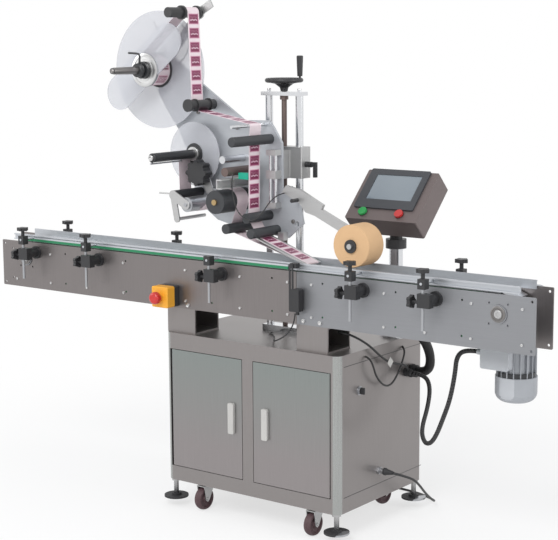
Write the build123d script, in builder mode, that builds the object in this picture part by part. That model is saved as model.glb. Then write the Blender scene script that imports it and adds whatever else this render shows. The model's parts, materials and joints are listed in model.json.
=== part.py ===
from build123d import *
from math import asin, atan2, cos, degrees, hypot, pi, radians, sin, sqrt, tan
import os

os.makedirs("parts", exist_ok=True)

# Flat labelling machine in millimetres, standing on its casters at z = 0.
# X runs along the conveyor in the direction of travel, Y runs from the front to the back.

# Driving dimensions of the conveyor
conveyor_length = 2100.0
conveyor_width = 108.0
front_face = -175.0
belt_top = 829.0
side_plate_top = 825.0
side_plate_height = 161.0
rear_plate_rise = 15.0
plate_thickness = 4.0
plate_joint_x = 244.0
conveyor_half = conveyor_length / 2
rear_face = front_face + conveyor_width
belt_middle = front_face + conveyor_width / 2
side_plate_bottom = side_plate_top - side_plate_height
inner_front = front_face + plate_thickness
inner_rear = rear_face - plate_thickness

# Slat chain and its sprockets
slat_pitch = 38.1
slat_width = 82.6
slat_thickness = 4.0
slat_gap = 1.2
knuckle_radius = 7.6
knuckle_width = 42.0
pin_depth = 10.5
sprocket_teeth = 8
end_to_sprocket = 114.0
sprocket_play = 119.1
drive_x = conveyor_half - end_to_sprocket
straight_links = round((conveyor_length - end_to_sprocket - sprocket_play) / slat_pitch)
sprocket_width = 24.0
chain_shaft_radius = 12.5
running_clearance = 0.05
seat_gap = 0.3
pitch_radius = slat_pitch / (2 * sin(pi / sprocket_teeth))
pin_line = belt_top - pin_depth
drive_z = pin_line - pitch_radius
idler_x = drive_x - straight_links * slat_pitch

# Cabinet
cabinet_length = 686.0
cabinet_depth = 483.0
cabinet_height = 493.0
cabinet_left = -277.0
cabinet_bottom = 90.0
cabinet_front = front_face - 15.0
sheet = 3.0
cabinet_corner = 25.0
cabinet_right = cabinet_left + cabinet_length
cabinet_rear = cabinet_front + cabinet_depth
cabinet_top = cabinet_bottom + cabinet_height

# Doors
door_height = 388.0
door_width = 294.0
door_bottom = cabinet_bottom + 50.0
door_left_x = cabinet_left + 22.0
door_right_x = cabinet_right - 30.0
door_depth = 14.0
door_skin = 2.0
door_gap = 2.0
door_hinge_inset = 9.0
pull_height = 100.0
pull_width = 22.0

# Labelling head: the face of its plate, and the strip of labels that runs along its middle
head_face = front_face + 113.0
head_plate_thickness = 10.0
web_front = front_face + 26.0
web_width = 56.0
web_thickness = 0.8
web_clearance = 0.3
roller_front = front_face - 2.0
stub_radius = 6.0
head_back = head_face + head_plate_thickness
web_back = web_front + web_width

# Axes of the head, as X and Z
reel_x, reel_z = -374.0, 1425.0
mid_roller_x, mid_roller_z = -167.0, 1317.0
turn_bar_x, turn_bar_z = 44.0, 1258.0
entry_roller_x, entry_roller_z = 61.0, 1214.0
lower_roller_x, lower_roller_z = 57.0, 975.0
peel_roller_x, peel_roller_z = 86.0, 930.0
return_bar_x, return_bar_z = -15.0, 938.0
traction_x, traction_z = -40.0, 1022.0
nip_x, nip_z = -171.0, 1005.0
liner_bar_x, liner_bar_z = -224.0, 1033.0
rewind_x, rewind_z = -228.0, 1157.0
tension_x, tension_z = -185.0, 1100.0
peel_tip_x, peel_tip_z = 265.0, 846.0
peel_tip_radius = 2.0
press_pivot_x, press_pivot_z = 142.0, 1052.0
sponge_x, sponge_z = 434.0, 916.0

# Radii of the head's rollers
roller_radius = 15.5
guide_radius = 16.0
turn_bar_radius = 5.0
traction_radius = 36.5
nip_radius = 23.5
liner_bar_radius = 14.5
rewind_radius = 14.5
roll_radius = 50.0
core_radius = 38.0
sponge_radius = 64.0
sponge_length = 80.0
reel_disc_radius = 190.0
arm_slope = 48.35
rewind_disc_radius = 103.0
disc_thickness = 3.0
arm_length = reel_disc_radius + 52.25
top_roller_x = reel_x + arm_length * cos(radians(arm_slope))
top_roller_z = reel_z + arm_length * sin(radians(arm_slope))

# Columns, lead screw and carriage
column_y = front_face + 215.0
column_spacing = 120.0
column_middle_x = 40.0
column_radius = 12.5
column_top = 1345.0
bridge_thickness = 12.0
bridge_depth = 46.0
screw_radius = 8.5
handwheel_radius = 61.0
carriage_width = 170.0
carriage_depth = 50.0
carriage_height = 99.0
carriage_bottom = 1086.0
carriage_travel = 140.0
carriage_front = column_y - carriage_depth / 2

# Operator panel
panel_post_x = 371.0
panel_post_y = front_face + 360.0
panel_post_radius = 22.0
panel_post_top = 866.0
panel_width = 262.0
panel_face = 200.0
panel_depth = 76.0
panel_bottom_y = front_face + 262.0
panel_bottom_z = 964.0
button_radius = 15.0

# Gear motor under the right end
motor_x = drive_x - 29.0
motor_y = front_face + 166.0
motor_radius = 58.0
motor_top = 690.0
motor_bottom = 486.0

# Casters and feet
caster_wheel_radius = 37.5
caster_wheel_width = 25.0
caster_trail = 18.0
foot_radius = 40.0
foot_raise = 27.0
foot_inset = 20.0


def front_view(y, x=0.0, z=0.0):
    """A plane that faces the front, with sketch x along X and sketch y along Z."""
    return Plane(origin=(x, y, z), x_dir=(1, 0, 0), z_dir=(0, -1, 0))


def side_view(x, y=0.0, z=0.0):
    """A plane that faces the right-hand end, with sketch x along Y and sketch y along Z."""
    return Plane(origin=(x, y, z), x_dir=(0, 1, 0), z_dir=(1, 0, 0))


ON_END = (Align.CENTER, Align.CENTER, Align.MIN)


def bar_y(x, z, y_front, y_back, radius, mode=Mode.ADD):
    """A round bar along Y."""
    with Locations(front_view(y_back, x, z)):
        Cylinder(radius, y_back - y_front, align=ON_END, mode=mode)


def bar_z(x, y, z_low, z_high, radius, mode=Mode.ADD):
    """A round bar that stands upright."""
    with Locations((x, y, z_low)):
        Cylinder(radius, z_high - z_low, align=ON_END, mode=mode)


def bar_x(x_left, x_right, y, z, radius, mode=Mode.ADD):
    """A round bar along X."""
    with Locations(side_view(x_left, y, z)):
        Cylinder(radius, x_right - x_left, align=ON_END, mode=mode)


def block(x_low, x_high, y_low, y_high, z_low, z_high, mode=Mode.ADD):
    """A square block between two corners."""
    with Locations((x_low, y_low, z_low)):
        Box(x_high - x_low, y_high - y_low, z_high - z_low,
            align=(Align.MIN, Align.MIN, Align.MIN), mode=mode)


def save(builder, name):
    """Give the finished piece its name and write it out."""
    builder.part.label = name
    export_step(builder.part, f"parts/{name}.step")
    print(name, len(builder.part.solids()), round(builder.part.volume / 1000, 1), "cm3")


# Cabinet: a welded sheet box with rounded uprights, open behind its two doors
door_opening_left = door_left_x - door_gap
door_opening_right = door_right_x + door_gap
post_left = door_left_x + door_width + door_gap
post_right = door_right_x - door_width - door_gap
door_top = door_bottom + door_height
with BuildPart() as cabinet_shell:
    with BuildSketch(Plane.XY.offset(cabinet_bottom)):
        with Locations(((cabinet_left + cabinet_right) / 2, (cabinet_front + cabinet_rear) / 2)):
            RectangleRounded(cabinet_length, cabinet_depth, cabinet_corner)
    extrude(amount=cabinet_height)
    with BuildSketch(Plane.XY.offset(cabinet_bottom + sheet)):
        with Locations(((cabinet_left + cabinet_right) / 2, (cabinet_front + cabinet_rear) / 2)):
            RectangleRounded(cabinet_length - 2 * sheet, cabinet_depth - 2 * sheet, cabinet_corner - sheet)
    extrude(amount=cabinet_height - 2 * sheet, mode=Mode.SUBTRACT)
    for low, high in ((door_opening_left, post_left), (post_right, door_opening_right)):
        block(low, high, cabinet_front - 1, cabinet_front + sheet + 1,
              door_bottom - door_gap, door_top + door_gap, Mode.SUBTRACT)
    # A folded post between the doors and folded stiles beside them
    for low, high in ((post_left, post_left + sheet), (post_right - sheet, post_right),
                      (door_opening_left - sheet, door_opening_left),
                      (door_opening_right, door_opening_right + sheet)):
        block(low, high, cabinet_front + sheet / 2, cabinet_front + door_depth + sheet,
              cabinet_bottom + sheet / 2, cabinet_top - sheet / 2)
    for column in (-1, 1):
        hole_x = column_middle_x + column * 30
        bar_z(hole_x, column_y + 60, cabinet_top - sheet - 1, cabinet_top + 1, 14, Mode.SUBTRACT)
save(cabinet_shell, "cabinet_shell")


# Doors: folded trays whose hinge edge is rounded about the pivot pin
def make_door(hinge_x, side):
    """A door that hangs on pins at hinge_x and reaches away from it along side."""
    pivot_x = hinge_x + side * door_hinge_inset
    pivot_y = cabinet_front + door_depth / 2
    free_x = hinge_x + side * door_width
    low, high = min(pivot_x, free_x), max(pivot_x, free_x)
    with BuildPart() as door:
        block(low, high, cabinet_front, cabinet_front + door_depth, door_bottom, door_top)
        bar_z(pivot_x, pivot_y, door_bottom, door_top, door_depth / 2)
        block(low + 10, high - 10, cabinet_front + door_skin, cabinet_front + door_depth + 1,
              door_bottom + 8, door_top - 8, Mode.SUBTRACT)
        for z_low, z_high in ((door_bottom - door_gap, door_bottom), (door_top, door_top + door_gap)):
            bar_z(pivot_x, pivot_y, z_low, z_high, 4)
        # The pull is a plastic bow let into the skin near the free edge
        pull_x = free_x - side * (40 if side > 0 else 48)
        pull_z = door_bottom + door_height / 2
        with BuildSketch(front_view(cabinet_front, pull_x, pull_z)):
            RectangleRounded(pull_width, pull_height, 5)
            RectangleRounded(pull_width - 9, pull_height - 12, 3, mode=Mode.SUBTRACT)
        extrude(amount=9)
        with BuildSketch(front_view(cabinet_front - 6, pull_x, pull_z)):
            RectangleRounded(pull_width - 7, pull_height - 10, 3)
        extrude(amount=3)
    return door


save(make_door(door_left_x, 1), "door_left")
save(make_door(door_right_x, -1), "door_right")

# Control gear on its mounting plate at the back of the cabinet
gear_plate_y = cabinet_rear - sheet
with BuildPart() as control_gear:
    for x in (cabinet_left + 90, cabinet_right - 90):
        for z in (cabinet_bottom + 80, cabinet_top - 80):
            bar_y(x, z, gear_plate_y - 20, gear_plate_y, 6)
    block(cabinet_left + 60, cabinet_right - 60, gear_plate_y - 22, gear_plate_y - 20,
          cabinet_bottom + 50, cabinet_top - 50)
    gear_left = cabinet_left + 127
    gear_depths = (110, 80, 80, 60)
    gear_widths = (90, 70, 50, 120)
    for width, depth in zip(gear_widths, gear_depths):
        block(gear_left, gear_left + width, gear_plate_y - 22 - depth, gear_plate_y - 22,
              cabinet_bottom + 260, cabinet_bottom + 390)
        gear_left += width + 25
    for z in (cabinet_bottom + 110, cabinet_bottom + 200):
        block(cabinet_left + 117, cabinet_right - 109, gear_plate_y - 62, gear_plate_y - 22, z, z + 40)
save(control_gear, "control_gear")

# Two box brackets carry the conveyor on the cabinet: each is folded sheet, open to the right
bracket_lefts = (cabinet_left, plate_joint_x)
bracket_width = 115.0
bracket_depth = 120.0
bracket_sheet = 5.0
with BuildPart() as conveyor_brackets:
    for left in bracket_lefts:
        with BuildSketch(front_view(front_face + bracket_depth)):
            with Locations((left + bracket_width / 2, (cabinet_top + side_plate_bottom) / 2)):
                Rectangle(bracket_width, side_plate_bottom - cabinet_top)
        extrude(amount=bracket_depth)
        block(left + bracket_sheet, left + bracket_width + 1, front_face + bracket_sheet,
              front_face + bracket_depth - bracket_sheet, cabinet_top + bracket_sheet,
              side_plate_bottom - bracket_sheet, Mode.SUBTRACT)
        with Locations((left + bracket_width / 2 + 15, front_face + bracket_depth / 2, side_plate_bottom)):
            with GridLocations(50, 60, 2, 2):
                Cylinder(4.5, 3 * bracket_sheet, mode=Mode.SUBTRACT)
save(conveyor_brackets, "conveyor_brackets")

# Side plates: the front one in two lengths, the rear one taller, with the bolt holes of the ends
end_hole_inset = 12.0
bearing_ring_radius = 27.0
bearing_bolt_pitch = 59.0
tie_xs = [conveyor_half * share for share in (-0.952, -0.705, -0.438, -0.086, 0.143, 0.324, 0.571, 0.781)]
hose_radius = 15.0
hose_end_x = cabinet_right + 67.0
hose_end_z = 694.0
hose_gland_reach = 14.0
tie_rows = (side_plate_bottom + 30.0, side_plate_top - 28.0)


def plate_holes(y_front, xs, bearing_x, end_x, height):
    """The holes that a conveyor side plate carries."""
    for x in xs:
        for z in tie_rows:
            bar_y(x, z, y_front - 1, y_front + plate_thickness + 1, 3.2, Mode.SUBTRACT)
    bar_y(bearing_x, drive_z, y_front - 1, y_front + plate_thickness + 1,
          bearing_ring_radius + 0.2, Mode.SUBTRACT)
    with Locations(front_view(y_front + plate_thickness + 1, bearing_x, drive_z)):
        with GridLocations(bearing_bolt_pitch, bearing_bolt_pitch, 2, 2):
            Cylinder(3.3, plate_thickness + 2, align=ON_END, mode=Mode.SUBTRACT)
    side = -1 if end_x > 0 else 1
    for z in (side_plate_bottom + end_hole_inset, side_plate_bottom + height - end_hole_inset):
        hole_x = end_x + side * end_hole_inset
        bar_y(hole_x, z, y_front - 1, y_front + plate_thickness + 1, 4.0, Mode.SUBTRACT)


with BuildPart() as side_plates_front:
    block(-conveyor_half, plate_joint_x - 0.5, front_face, inner_front, side_plate_bottom, side_plate_top)
    block(plate_joint_x + 0.5, conveyor_half, front_face, inner_front, side_plate_bottom, side_plate_top)
    plate_holes(front_face, tie_xs, idler_x, -conveyor_half, side_plate_height)
    plate_holes(front_face, [], drive_x, conveyor_half, side_plate_height)
    fillet(side_plates_front.edges().filter_by(Axis.Y).group_by(Axis.X)[0], 4)
    fillet(side_plates_front.edges().filter_by(Axis.Y).group_by(Axis.X)[-1], 4)
save(side_plates_front, "side_plates_front")

with BuildPart() as side_plate_rear:
    rear_plate_top = side_plate_top + rear_plate_rise
    block(-conveyor_half, conveyor_half, inner_rear, rear_face, side_plate_bottom, rear_plate_top)
    plate_holes(inner_rear, tie_xs, idler_x, -conveyor_half, side_plate_height + rear_plate_rise)
    bar_y(drive_x, drive_z, inner_rear - 1, rear_face + 1, bearing_ring_radius + 0.2, Mode.SUBTRACT)
    for z in (side_plate_bottom + end_hole_inset, rear_plate_top - end_hole_inset):
        bar_y(conveyor_half - end_hole_inset, z, inner_rear - 1, rear_face + 1, 4.0, Mode.SUBTRACT)
    fillet(side_plate_rear.edges().filter_by(Axis.Y).group_by(Axis.X)[0], 4)
    fillet(side_plate_rear.edges().filter_by(Axis.Y).group_by(Axis.X)[-1], 4)
    # Gland where the control hose enters
    bar_y(hose_end_x, hose_end_z, rear_face, rear_face + hose_gland_reach, hose_radius + 5)
save(side_plate_rear, "side_plate_rear")

# Cross ties between the plates, and plastic wear strips that the slats slide on
wear_height = pin_line + pin_depth - slat_thickness - seat_gap
wear_left = idler_x + pitch_radius + 12
wear_right = drive_x - pitch_radius - 12
return_line = drive_z - pitch_radius
with BuildPart() as chain_supports:
    for x in tie_xs:
        for z in tie_rows:
            if idler_x < x < drive_x:
                tie_z = z if z < drive_z else drive_z + 10
                bar_y(x, tie_z, inner_front, inner_rear, 7)
    strip_reach = (slat_width - knuckle_width) / 2 - 6
    for y in (belt_middle - slat_width / 2, belt_middle + slat_width / 2 - strip_reach):
        block(wear_left, wear_right, y, y + strip_reach, drive_z + 8, wear_height)
        block(wear_left, wear_right, y, y + strip_reach, side_plate_bottom + 22,
              return_line - pin_depth - seat_gap)
save(chain_supports, "chain_supports")


# Slat chain: flat slats hinged on knuckles, one closed loop round the two sprockets
def chain_pins():
    """The pins of the loop in order, as X and Z."""
    pins = [(idler_x + slat_pitch * link, pin_line) for link in range(straight_links)]
    for tooth in range(sprocket_teeth // 2):
        angle = pi / 2 - 2 * pi * tooth / sprocket_teeth
        pins.append((drive_x + pitch_radius * cos(angle), drive_z + pitch_radius * sin(angle)))
    pins += [(drive_x - slat_pitch * link, drive_z - pitch_radius) for link in range(straight_links)]
    for tooth in range(sprocket_teeth // 2):
        angle = -pi / 2 - 2 * pi * tooth / sprocket_teeth
        pins.append((idler_x + pitch_radius * cos(angle), drive_z + pitch_radius * sin(angle)))
    return pins


pins = chain_pins()
slat_places = []
for start, end in zip(pins, pins[1:] + pins[:1]):
    turn = atan2(end[1] - start[1], end[0] - start[0])
    outward = pin_depth - slat_thickness / 2
    middle = ((start[0] + end[0]) / 2 - outward * sin(turn), (start[1] + end[1]) / 2 + outward * cos(turn))
    slat_places.append(Location((middle[0], middle[1], 0), (0, 0, degrees(turn))))
with BuildPart() as slat_chain:
    with BuildSketch(front_view(belt_middle + slat_width / 2)):
        with Locations(*slat_places):
            Rectangle(slat_pitch - slat_gap, slat_thickness)
    extrude(amount=slat_width)
    with BuildSketch(front_view(belt_middle + knuckle_width / 2)):
        with Locations(*pins):
            RegularPolygon(knuckle_radius, 8)
    extrude(amount=knuckle_width)
save(slat_chain, "slat_chain")


def make_sprocket(x):
    """A toothed wheel on its shaft, whose shallow seats face the knuckles of the chain."""
    with BuildPart() as sprocket:
        with BuildSketch(front_view(belt_middle + sprocket_width / 2, x, drive_z)):
            Circle(pitch_radius - knuckle_radius - seat_gap)
            with PolarLocations(pitch_radius, sprocket_teeth, start_angle=90):
                Circle(knuckle_radius + 3.5, mode=Mode.SUBTRACT)
        extrude(amount=sprocket_width)
        bar_y(x, drive_z, belt_middle - 20, belt_middle + 20, 24)
        bar_y(x, drive_z, front_face - 4, rear_face + 6, chain_shaft_radius)
    return sprocket


save(make_sprocket(drive_x), "drive_sprocket")
save(make_sprocket(idler_x), "idler_sprocket")

# Flange bearings: a ring in the plate's hole on a square flange behind it
flange_thickness = 8.0
with BuildPart() as end_bearings:
    for x in (idler_x, drive_x):
        for outer, inner, flange_side in ((front_face - 3, inner_front, 1), (rear_face + 3, inner_rear, -1)):
            low, high = sorted((outer, inner))
            bar_y(x, drive_z, low, high, bearing_ring_radius)
            low, high = sorted((inner, inner + flange_side * flange_thickness))
            with BuildSketch(front_view(high, x, drive_z)):
                RectangleRounded(bearing_bolt_pitch + 16, bearing_bolt_pitch + 16, 8)
            extrude(amount=high - low)
            bar_y(x, drive_z, min(outer, low) - 1, max(outer, high) + 1,
                  chain_shaft_radius + running_clearance, Mode.SUBTRACT)
save(end_bearings, "end_bearings")

# Gear motor: worm gearbox on the rear plate, ribbed motor hanging below it, cowl and terminal box
gearbox_front = rear_face + 6.2
gearbox_depth = 84.0
rib_count = 18
with BuildPart() as gear_motor:
    with BuildSketch(front_view(gearbox_front + gearbox_depth)):
        with Locations((drive_x - 6, drive_z - 8)):
            RectangleRounded(112, 132, 26)
    extrude(amount=gearbox_depth)
    bar_y(drive_x, drive_z, rear_face, gearbox_front + 1, 36)
    bar_y(drive_x, drive_z, rear_face - 1, rear_face + 3 + seat_gap, bearing_ring_radius + 0.4, Mode.SUBTRACT)
    bar_y(drive_x, drive_z, gearbox_front - 7, gearbox_front + gearbox_depth / 2,
          chain_shaft_radius + running_clearance, Mode.SUBTRACT)
    bar_z(motor_x, motor_y, motor_top - 4, motor_top + 14, motor_radius)
    bar_z(motor_x, motor_y, motor_bottom + 70, motor_top, motor_radius - 8)
    for rib in range(rib_count):
        angle = 2 * pi * (rib + 0.5) / rib_count
        rib_plane = Plane(origin=(motor_x, motor_y, motor_bottom + 74), z_dir=(0, 0, 1),
                          x_dir=(cos(angle), sin(angle), 0))
        with Locations(rib_plane):
            Box(motor_radius, 3, motor_top - motor_bottom - 78, align=(Align.MIN, Align.CENTER, Align.MIN))
    # Fan cowl with a domed end
    with BuildSketch(Plane(origin=(motor_x, motor_y, 0), x_dir=(1, 0, 0), z_dir=(0, -1, 0))):
        with BuildLine():
            Line((0, motor_bottom), (motor_radius - 26, motor_bottom))
            ThreePointArc((motor_radius - 26, motor_bottom), (motor_radius - 5, motor_bottom + 9),
                          (motor_radius + 3, motor_bottom + 28))
            Line((motor_radius + 3, motor_bottom + 28), (motor_radius + 3, motor_bottom + 76))
            Line((motor_radius + 3, motor_bottom + 76), (0, motor_bottom + 76))
            Line((0, motor_bottom + 76), (0, motor_bottom))
        make_face()
    revolve(axis=Axis((motor_x, motor_y, 0), (0, 0, 1)))
    # Terminal box on the front left of the motor
    with BuildSketch(front_view(motor_y - motor_radius + 12)):
        with Locations((motor_x - 28, 617)):
            RectangleRounded(90, 58, 6)
    extrude(amount=38)
    bar_x(motor_x - 90, motor_x - 70, motor_y - motor_radius - 8, 632, 9)
save(gear_motor, "gear_motor")

# Guide rails over the belt, each with the horizontal and upright rods that its clamps hold
front_clamp_xs = [conveyor_half * share for share in (-0.8505, -0.5648, -0.0571, 0.4514, 0.6876)]
rear_clamp_xs = [conveyor_half * share for share in (-0.84, -0.3524, 0.6914)]
rail_bottom = belt_top + 2.0
rail_height = 20.0
rail_thickness = 9.0
rear_rail_height = 26.0
rod_radius = 4.5
clamp_reach = 50.0
rail_adjust = 12.0
rod_z = rail_bottom + 10.0
front_rail_y = belt_middle - slat_width / 2 - 4
rear_rail_y = belt_middle + slat_width / 2 + 4


def rail_profile(y, height, thickness, outward):
    """A channel open towards the outside, drawn from the end."""
    with BuildSketch(side_view(-conveyor_half + 60)) as profile:
        with Locations((y + outward * thickness / 2, rail_bottom + height / 2)):
            Rectangle(thickness, height)
        with Locations((y + outward * thickness * 5 / 6, rail_bottom + height / 2)):
            Rectangle(thickness, height - 8, mode=Mode.SUBTRACT)
    return profile


with BuildPart() as guide_rail_front:
    profile = rail_profile(front_rail_y, rail_height, rail_thickness, -1)
    extrude(profile.sketch, amount=conveyor_length - 110)
    # Green liner along the outside of the left half
    block(-conveyor_half + 120, plate_joint_x - 30, front_rail_y - 12, front_rail_y - 2,
          rail_bottom - 1, rail_bottom + 13)
    for x in front_clamp_xs:
        bar_y(x, rod_z, front_face - clamp_reach - 12, front_rail_y - 1, rod_radius - 0.5)
save(guide_rail_front, "guide_rail_front")

with BuildPart() as guide_rail_rear:
    profile = rail_profile(rear_rail_y, rear_rail_height, rail_thickness / 2, 1)
    extrude(profile.sketch, amount=conveyor_length - 110)
    for x in rear_clamp_xs:
        bar_y(x, rod_z + 3, rear_rail_y + 1, rear_face + clamp_reach + 12, rod_radius - 0.5)
save(guide_rail_rear, "guide_rail_rear")


# Rail clamps: a flanged foot on the side plate, a cross block, an upright rod and two knobs
def star_knob(radius, depth, lobes):
    """The outline of a lobed knob."""
    with BuildSketch(Plane.XY) as knob:
        Circle(radius * 0.78)
        with PolarLocations(radius * 0.72, lobes):
            Circle(radius * 0.28)
    return extrude(knob.sketch, amount=depth)


def add_clamp(x, plate_y, side, has_knob, rod_height):
    """One clamp on the plate whose outer face is plate_y, reaching out along side."""
    axis_y = plate_y + side * clamp_reach
    low, high = sorted((plate_y, plate_y + side * 8))
    bar_y(x + 14, 792, low, high, 22)
    low, high = sorted((plate_y + side * 7, axis_y))
    bar_y(x + 14, 792, low, high, 15)
    low, high = sorted((axis_y - side * 13, axis_y + side * 11))
    block(x - 13, x + 28, low, high, 772, 812)
    bar_z(x, axis_y, 705, rod_height - 16, rod_radius)
    low, high = sorted((axis_y - side * 13, axis_y + side * 11))
    block(x - 12, x + 12, low, high, rod_height - 16, rod_height + 13)
    bar_y(x, rod_height, low - 1, high + 1, rod_radius - 0.5 + running_clearance, Mode.SUBTRACT)
    bar_x(x - 34, x - 13, axis_y, 786, 5)
    with Locations(Plane(origin=(x - 44, axis_y, 786), x_dir=(0, 1, 0), z_dir=(1, 0, 0))):
        add(knob_shape)
    if has_knob:
        bar_z(x, axis_y, rod_height + 12, rod_height + 33, 6)
        with Locations((x, axis_y, rod_height + 31)):
            add(knob_shape)


knob_shape = star_knob(20, 11, 5)
with BuildPart() as rail_clamps:
    for x in front_clamp_xs:
        add_clamp(x, front_face, -1, x != front_clamp_xs[2], rod_z)
    for x in rear_clamp_xs:
        add_clamp(x, rear_face, 1, True, rod_z + 3)
save(rail_clamps, "rail_clamps")

# Emergency stop: base and lid on the front plate, and the mushroom that is pushed in
estop_x = -260.0
estop_z = 704.0
estop_side = 68.0
estop_base_depth = 35.0
estop_lid_depth = 24.0
estop_bore = 8.0
estop_face = front_face - estop_base_depth - estop_lid_depth
with BuildPart() as estop_box:
    with BuildSketch(front_view(front_face, estop_x, estop_z)):
        RectangleRounded(estop_side, estop_side, 6)
    extrude(amount=estop_base_depth + estop_lid_depth)
    fillet(estop_box.faces().sort_by(Axis.Y)[0].edges(), 3)
    block(estop_x - 40, estop_x + 40, front_face - estop_base_depth - 0.8, front_face - estop_base_depth,
          estop_z - 40, estop_z - estop_side / 2 + 0.8, Mode.SUBTRACT)
    bar_y(estop_x, estop_z, estop_face - 3, estop_face + 1, 17)
    bar_y(estop_x, estop_z, estop_face - 4, front_face - 10, estop_bore + running_clearance, Mode.SUBTRACT)
save(estop_box, "estop_box")

with BuildPart() as estop_button:
    bar_y(estop_x, estop_z, estop_face - 33, estop_face - 15, 20)
    fillet(estop_button.edges().sort_by(Axis.Y)[0], 9)
    bar_y(estop_x, estop_z, estop_face - 16, estop_face + 20, estop_bore)
save(estop_button, "estop_button")

# Product sensor: slotted upright bracket, sensor head over the rail, amplifier below
sensor_x = 241.0
with BuildPart() as product_sensor:
    with BuildSketch(front_view(front_face - 22, sensor_x, 778)):
        RectangleRounded(16, 146, 3)
        with Locations((0, 28)):
            SlotOverall(64, 5, rotation=90, mode=Mode.SUBTRACT)
    extrude(amount=3)
    block(sensor_x - 8, sensor_x + 8, front_face - 22, front_face, 707, 722)
    block(sensor_x - 6, sensor_x + 16, front_face - 22, front_face - 2, 838, 853)
    with BuildSketch(front_view(front_face - 8, sensor_x + 21, 742)):
        RectangleRounded(26, 70, 4)
    extrude(amount=24)
    bar_z(sensor_x + 21, front_face - 20, 697, 707, 6)
save(product_sensor, "product_sensor")

# Operator panel: post, tilted housing with its screen, and two buttons
panel_lean = 45.0
panel_middle = Vector(panel_post_x, panel_bottom_y + panel_face * cos(radians(panel_lean)) / 2,
                      panel_bottom_z + panel_face * sin(radians(panel_lean)) / 2)
panel_normal = (0, -sin(radians(panel_lean)), cos(radians(panel_lean)))
panel_plane = Plane(origin=panel_middle, x_dir=(1, 0, 0), z_dir=panel_normal)
with BuildPart() as hmi_post:
    bar_z(panel_post_x, panel_post_y, cabinet_top, cabinet_top + 10, 50)
    bar_z(panel_post_x, panel_post_y, cabinet_top, panel_post_top, panel_post_radius)
    bar_z(panel_post_x, panel_post_y, panel_post_top, panel_post_top + 26, 15)
save(hmi_post, "hmi_post")

button_row = -panel_face / 2 + 27
button_left = -panel_width / 2 + 58
button_right = -panel_width / 2 + 192
button_bore = 11.0
with BuildPart() as hmi_housing:
    with BuildSketch(panel_plane):
        RectangleRounded(panel_width, panel_face, 5)
    extrude(amount=-panel_depth)
    with BuildSketch(panel_plane):
        with Locations((-6, 22)):
            Rectangle(206, 146)
    extrude(amount=-30, mode=Mode.SUBTRACT)
    # Screen unit: bezel proud of the face, with the touch surface set back in it
    with BuildSketch(panel_plane.offset(-29)):
        with Locations((-6, 22)):
            Rectangle(204.8, 144.8)
    extrude(amount=29)
    with BuildSketch(panel_plane):
        with Locations((-6, 22)):
            RectangleRounded(218, 158, 5)
    extrude(amount=6)
    with BuildSketch(panel_plane.offset(6)):
        with Locations((-2, 28)):
            Rectangle(166, 100)
    extrude(amount=-2, mode=Mode.SUBTRACT)
    for x in (button_left, button_right):
        with Locations(panel_plane.offset(-panel_depth / 2) * Location((x, button_row, 0))):
            Cylinder(button_bore + running_clearance, panel_depth / 2, align=ON_END, mode=Mode.SUBTRACT)
    # Swivel clamp under the housing
    bar_z(panel_post_x, panel_post_y, panel_post_top + seat_gap, panel_post_top + 30, 33)
    bar_z(panel_post_x, panel_post_y, panel_post_top + 27, panel_bottom_z - 4, 20)
    bar_z(panel_post_x, panel_post_y, panel_post_top, panel_post_top + 26 + seat_gap,
          15 + running_clearance, Mode.SUBTRACT)
save(hmi_housing, "hmi_housing")


def make_button(x):
    """A push button whose stem runs in the housing's bore."""
    with BuildPart() as button:
        with Locations(panel_plane.offset(-24) * Location((x, button_row, 0))):
            Cylinder(button_bore, 28, align=ON_END)
        with BuildSketch(panel_plane.offset(3.5) * Location((x, button_row, 0))):
            Circle(button_radius)
        extrude(amount=6, taper=8)
    return button


save(make_button(button_left), "start_button")
save(make_button(button_right), "stop_button")

# Two columns between a foot on the cabinet and a bridge on top
foot_height = 20.0
with BuildPart() as guide_columns:
    for low, high in ((cabinet_top, cabinet_top + foot_height), (column_top, column_top + bridge_thickness)):
        block(column_middle_x - column_spacing / 2 - 16, column_middle_x + column_spacing / 2 + 16,
              column_y - bridge_depth / 2, column_y + bridge_depth / 2, low, high)
    for side in (-1, 1):
        column_x = column_middle_x + side * column_spacing / 2
        bar_z(column_x, column_y, cabinet_top + 1, column_top + 1, column_radius)
        bar_z(column_x, column_y, column_top, column_top + bridge_thickness + 5, 6)
    bar_z(column_middle_x, column_y, cabinet_top + 6, column_top + bridge_thickness + 1,
          screw_radius - 1.5 + running_clearance, Mode.SUBTRACT)
save(guide_columns, "guide_columns")

# Lead screw with a collar under the bridge, and the handwheel with its turning grip
with BuildPart() as lead_screw:
    bar_z(column_middle_x, column_y, cabinet_top + 8, column_top + bridge_thickness + 40, screw_radius - 1.5)
    bar_z(column_middle_x, column_y, cabinet_top + foot_height + 1, column_top - 1, screw_radius)
    bar_z(column_middle_x, column_y, column_top - 13, column_top - seat_gap, screw_radius + 5)
save(lead_screw, "lead_screw")

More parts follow.
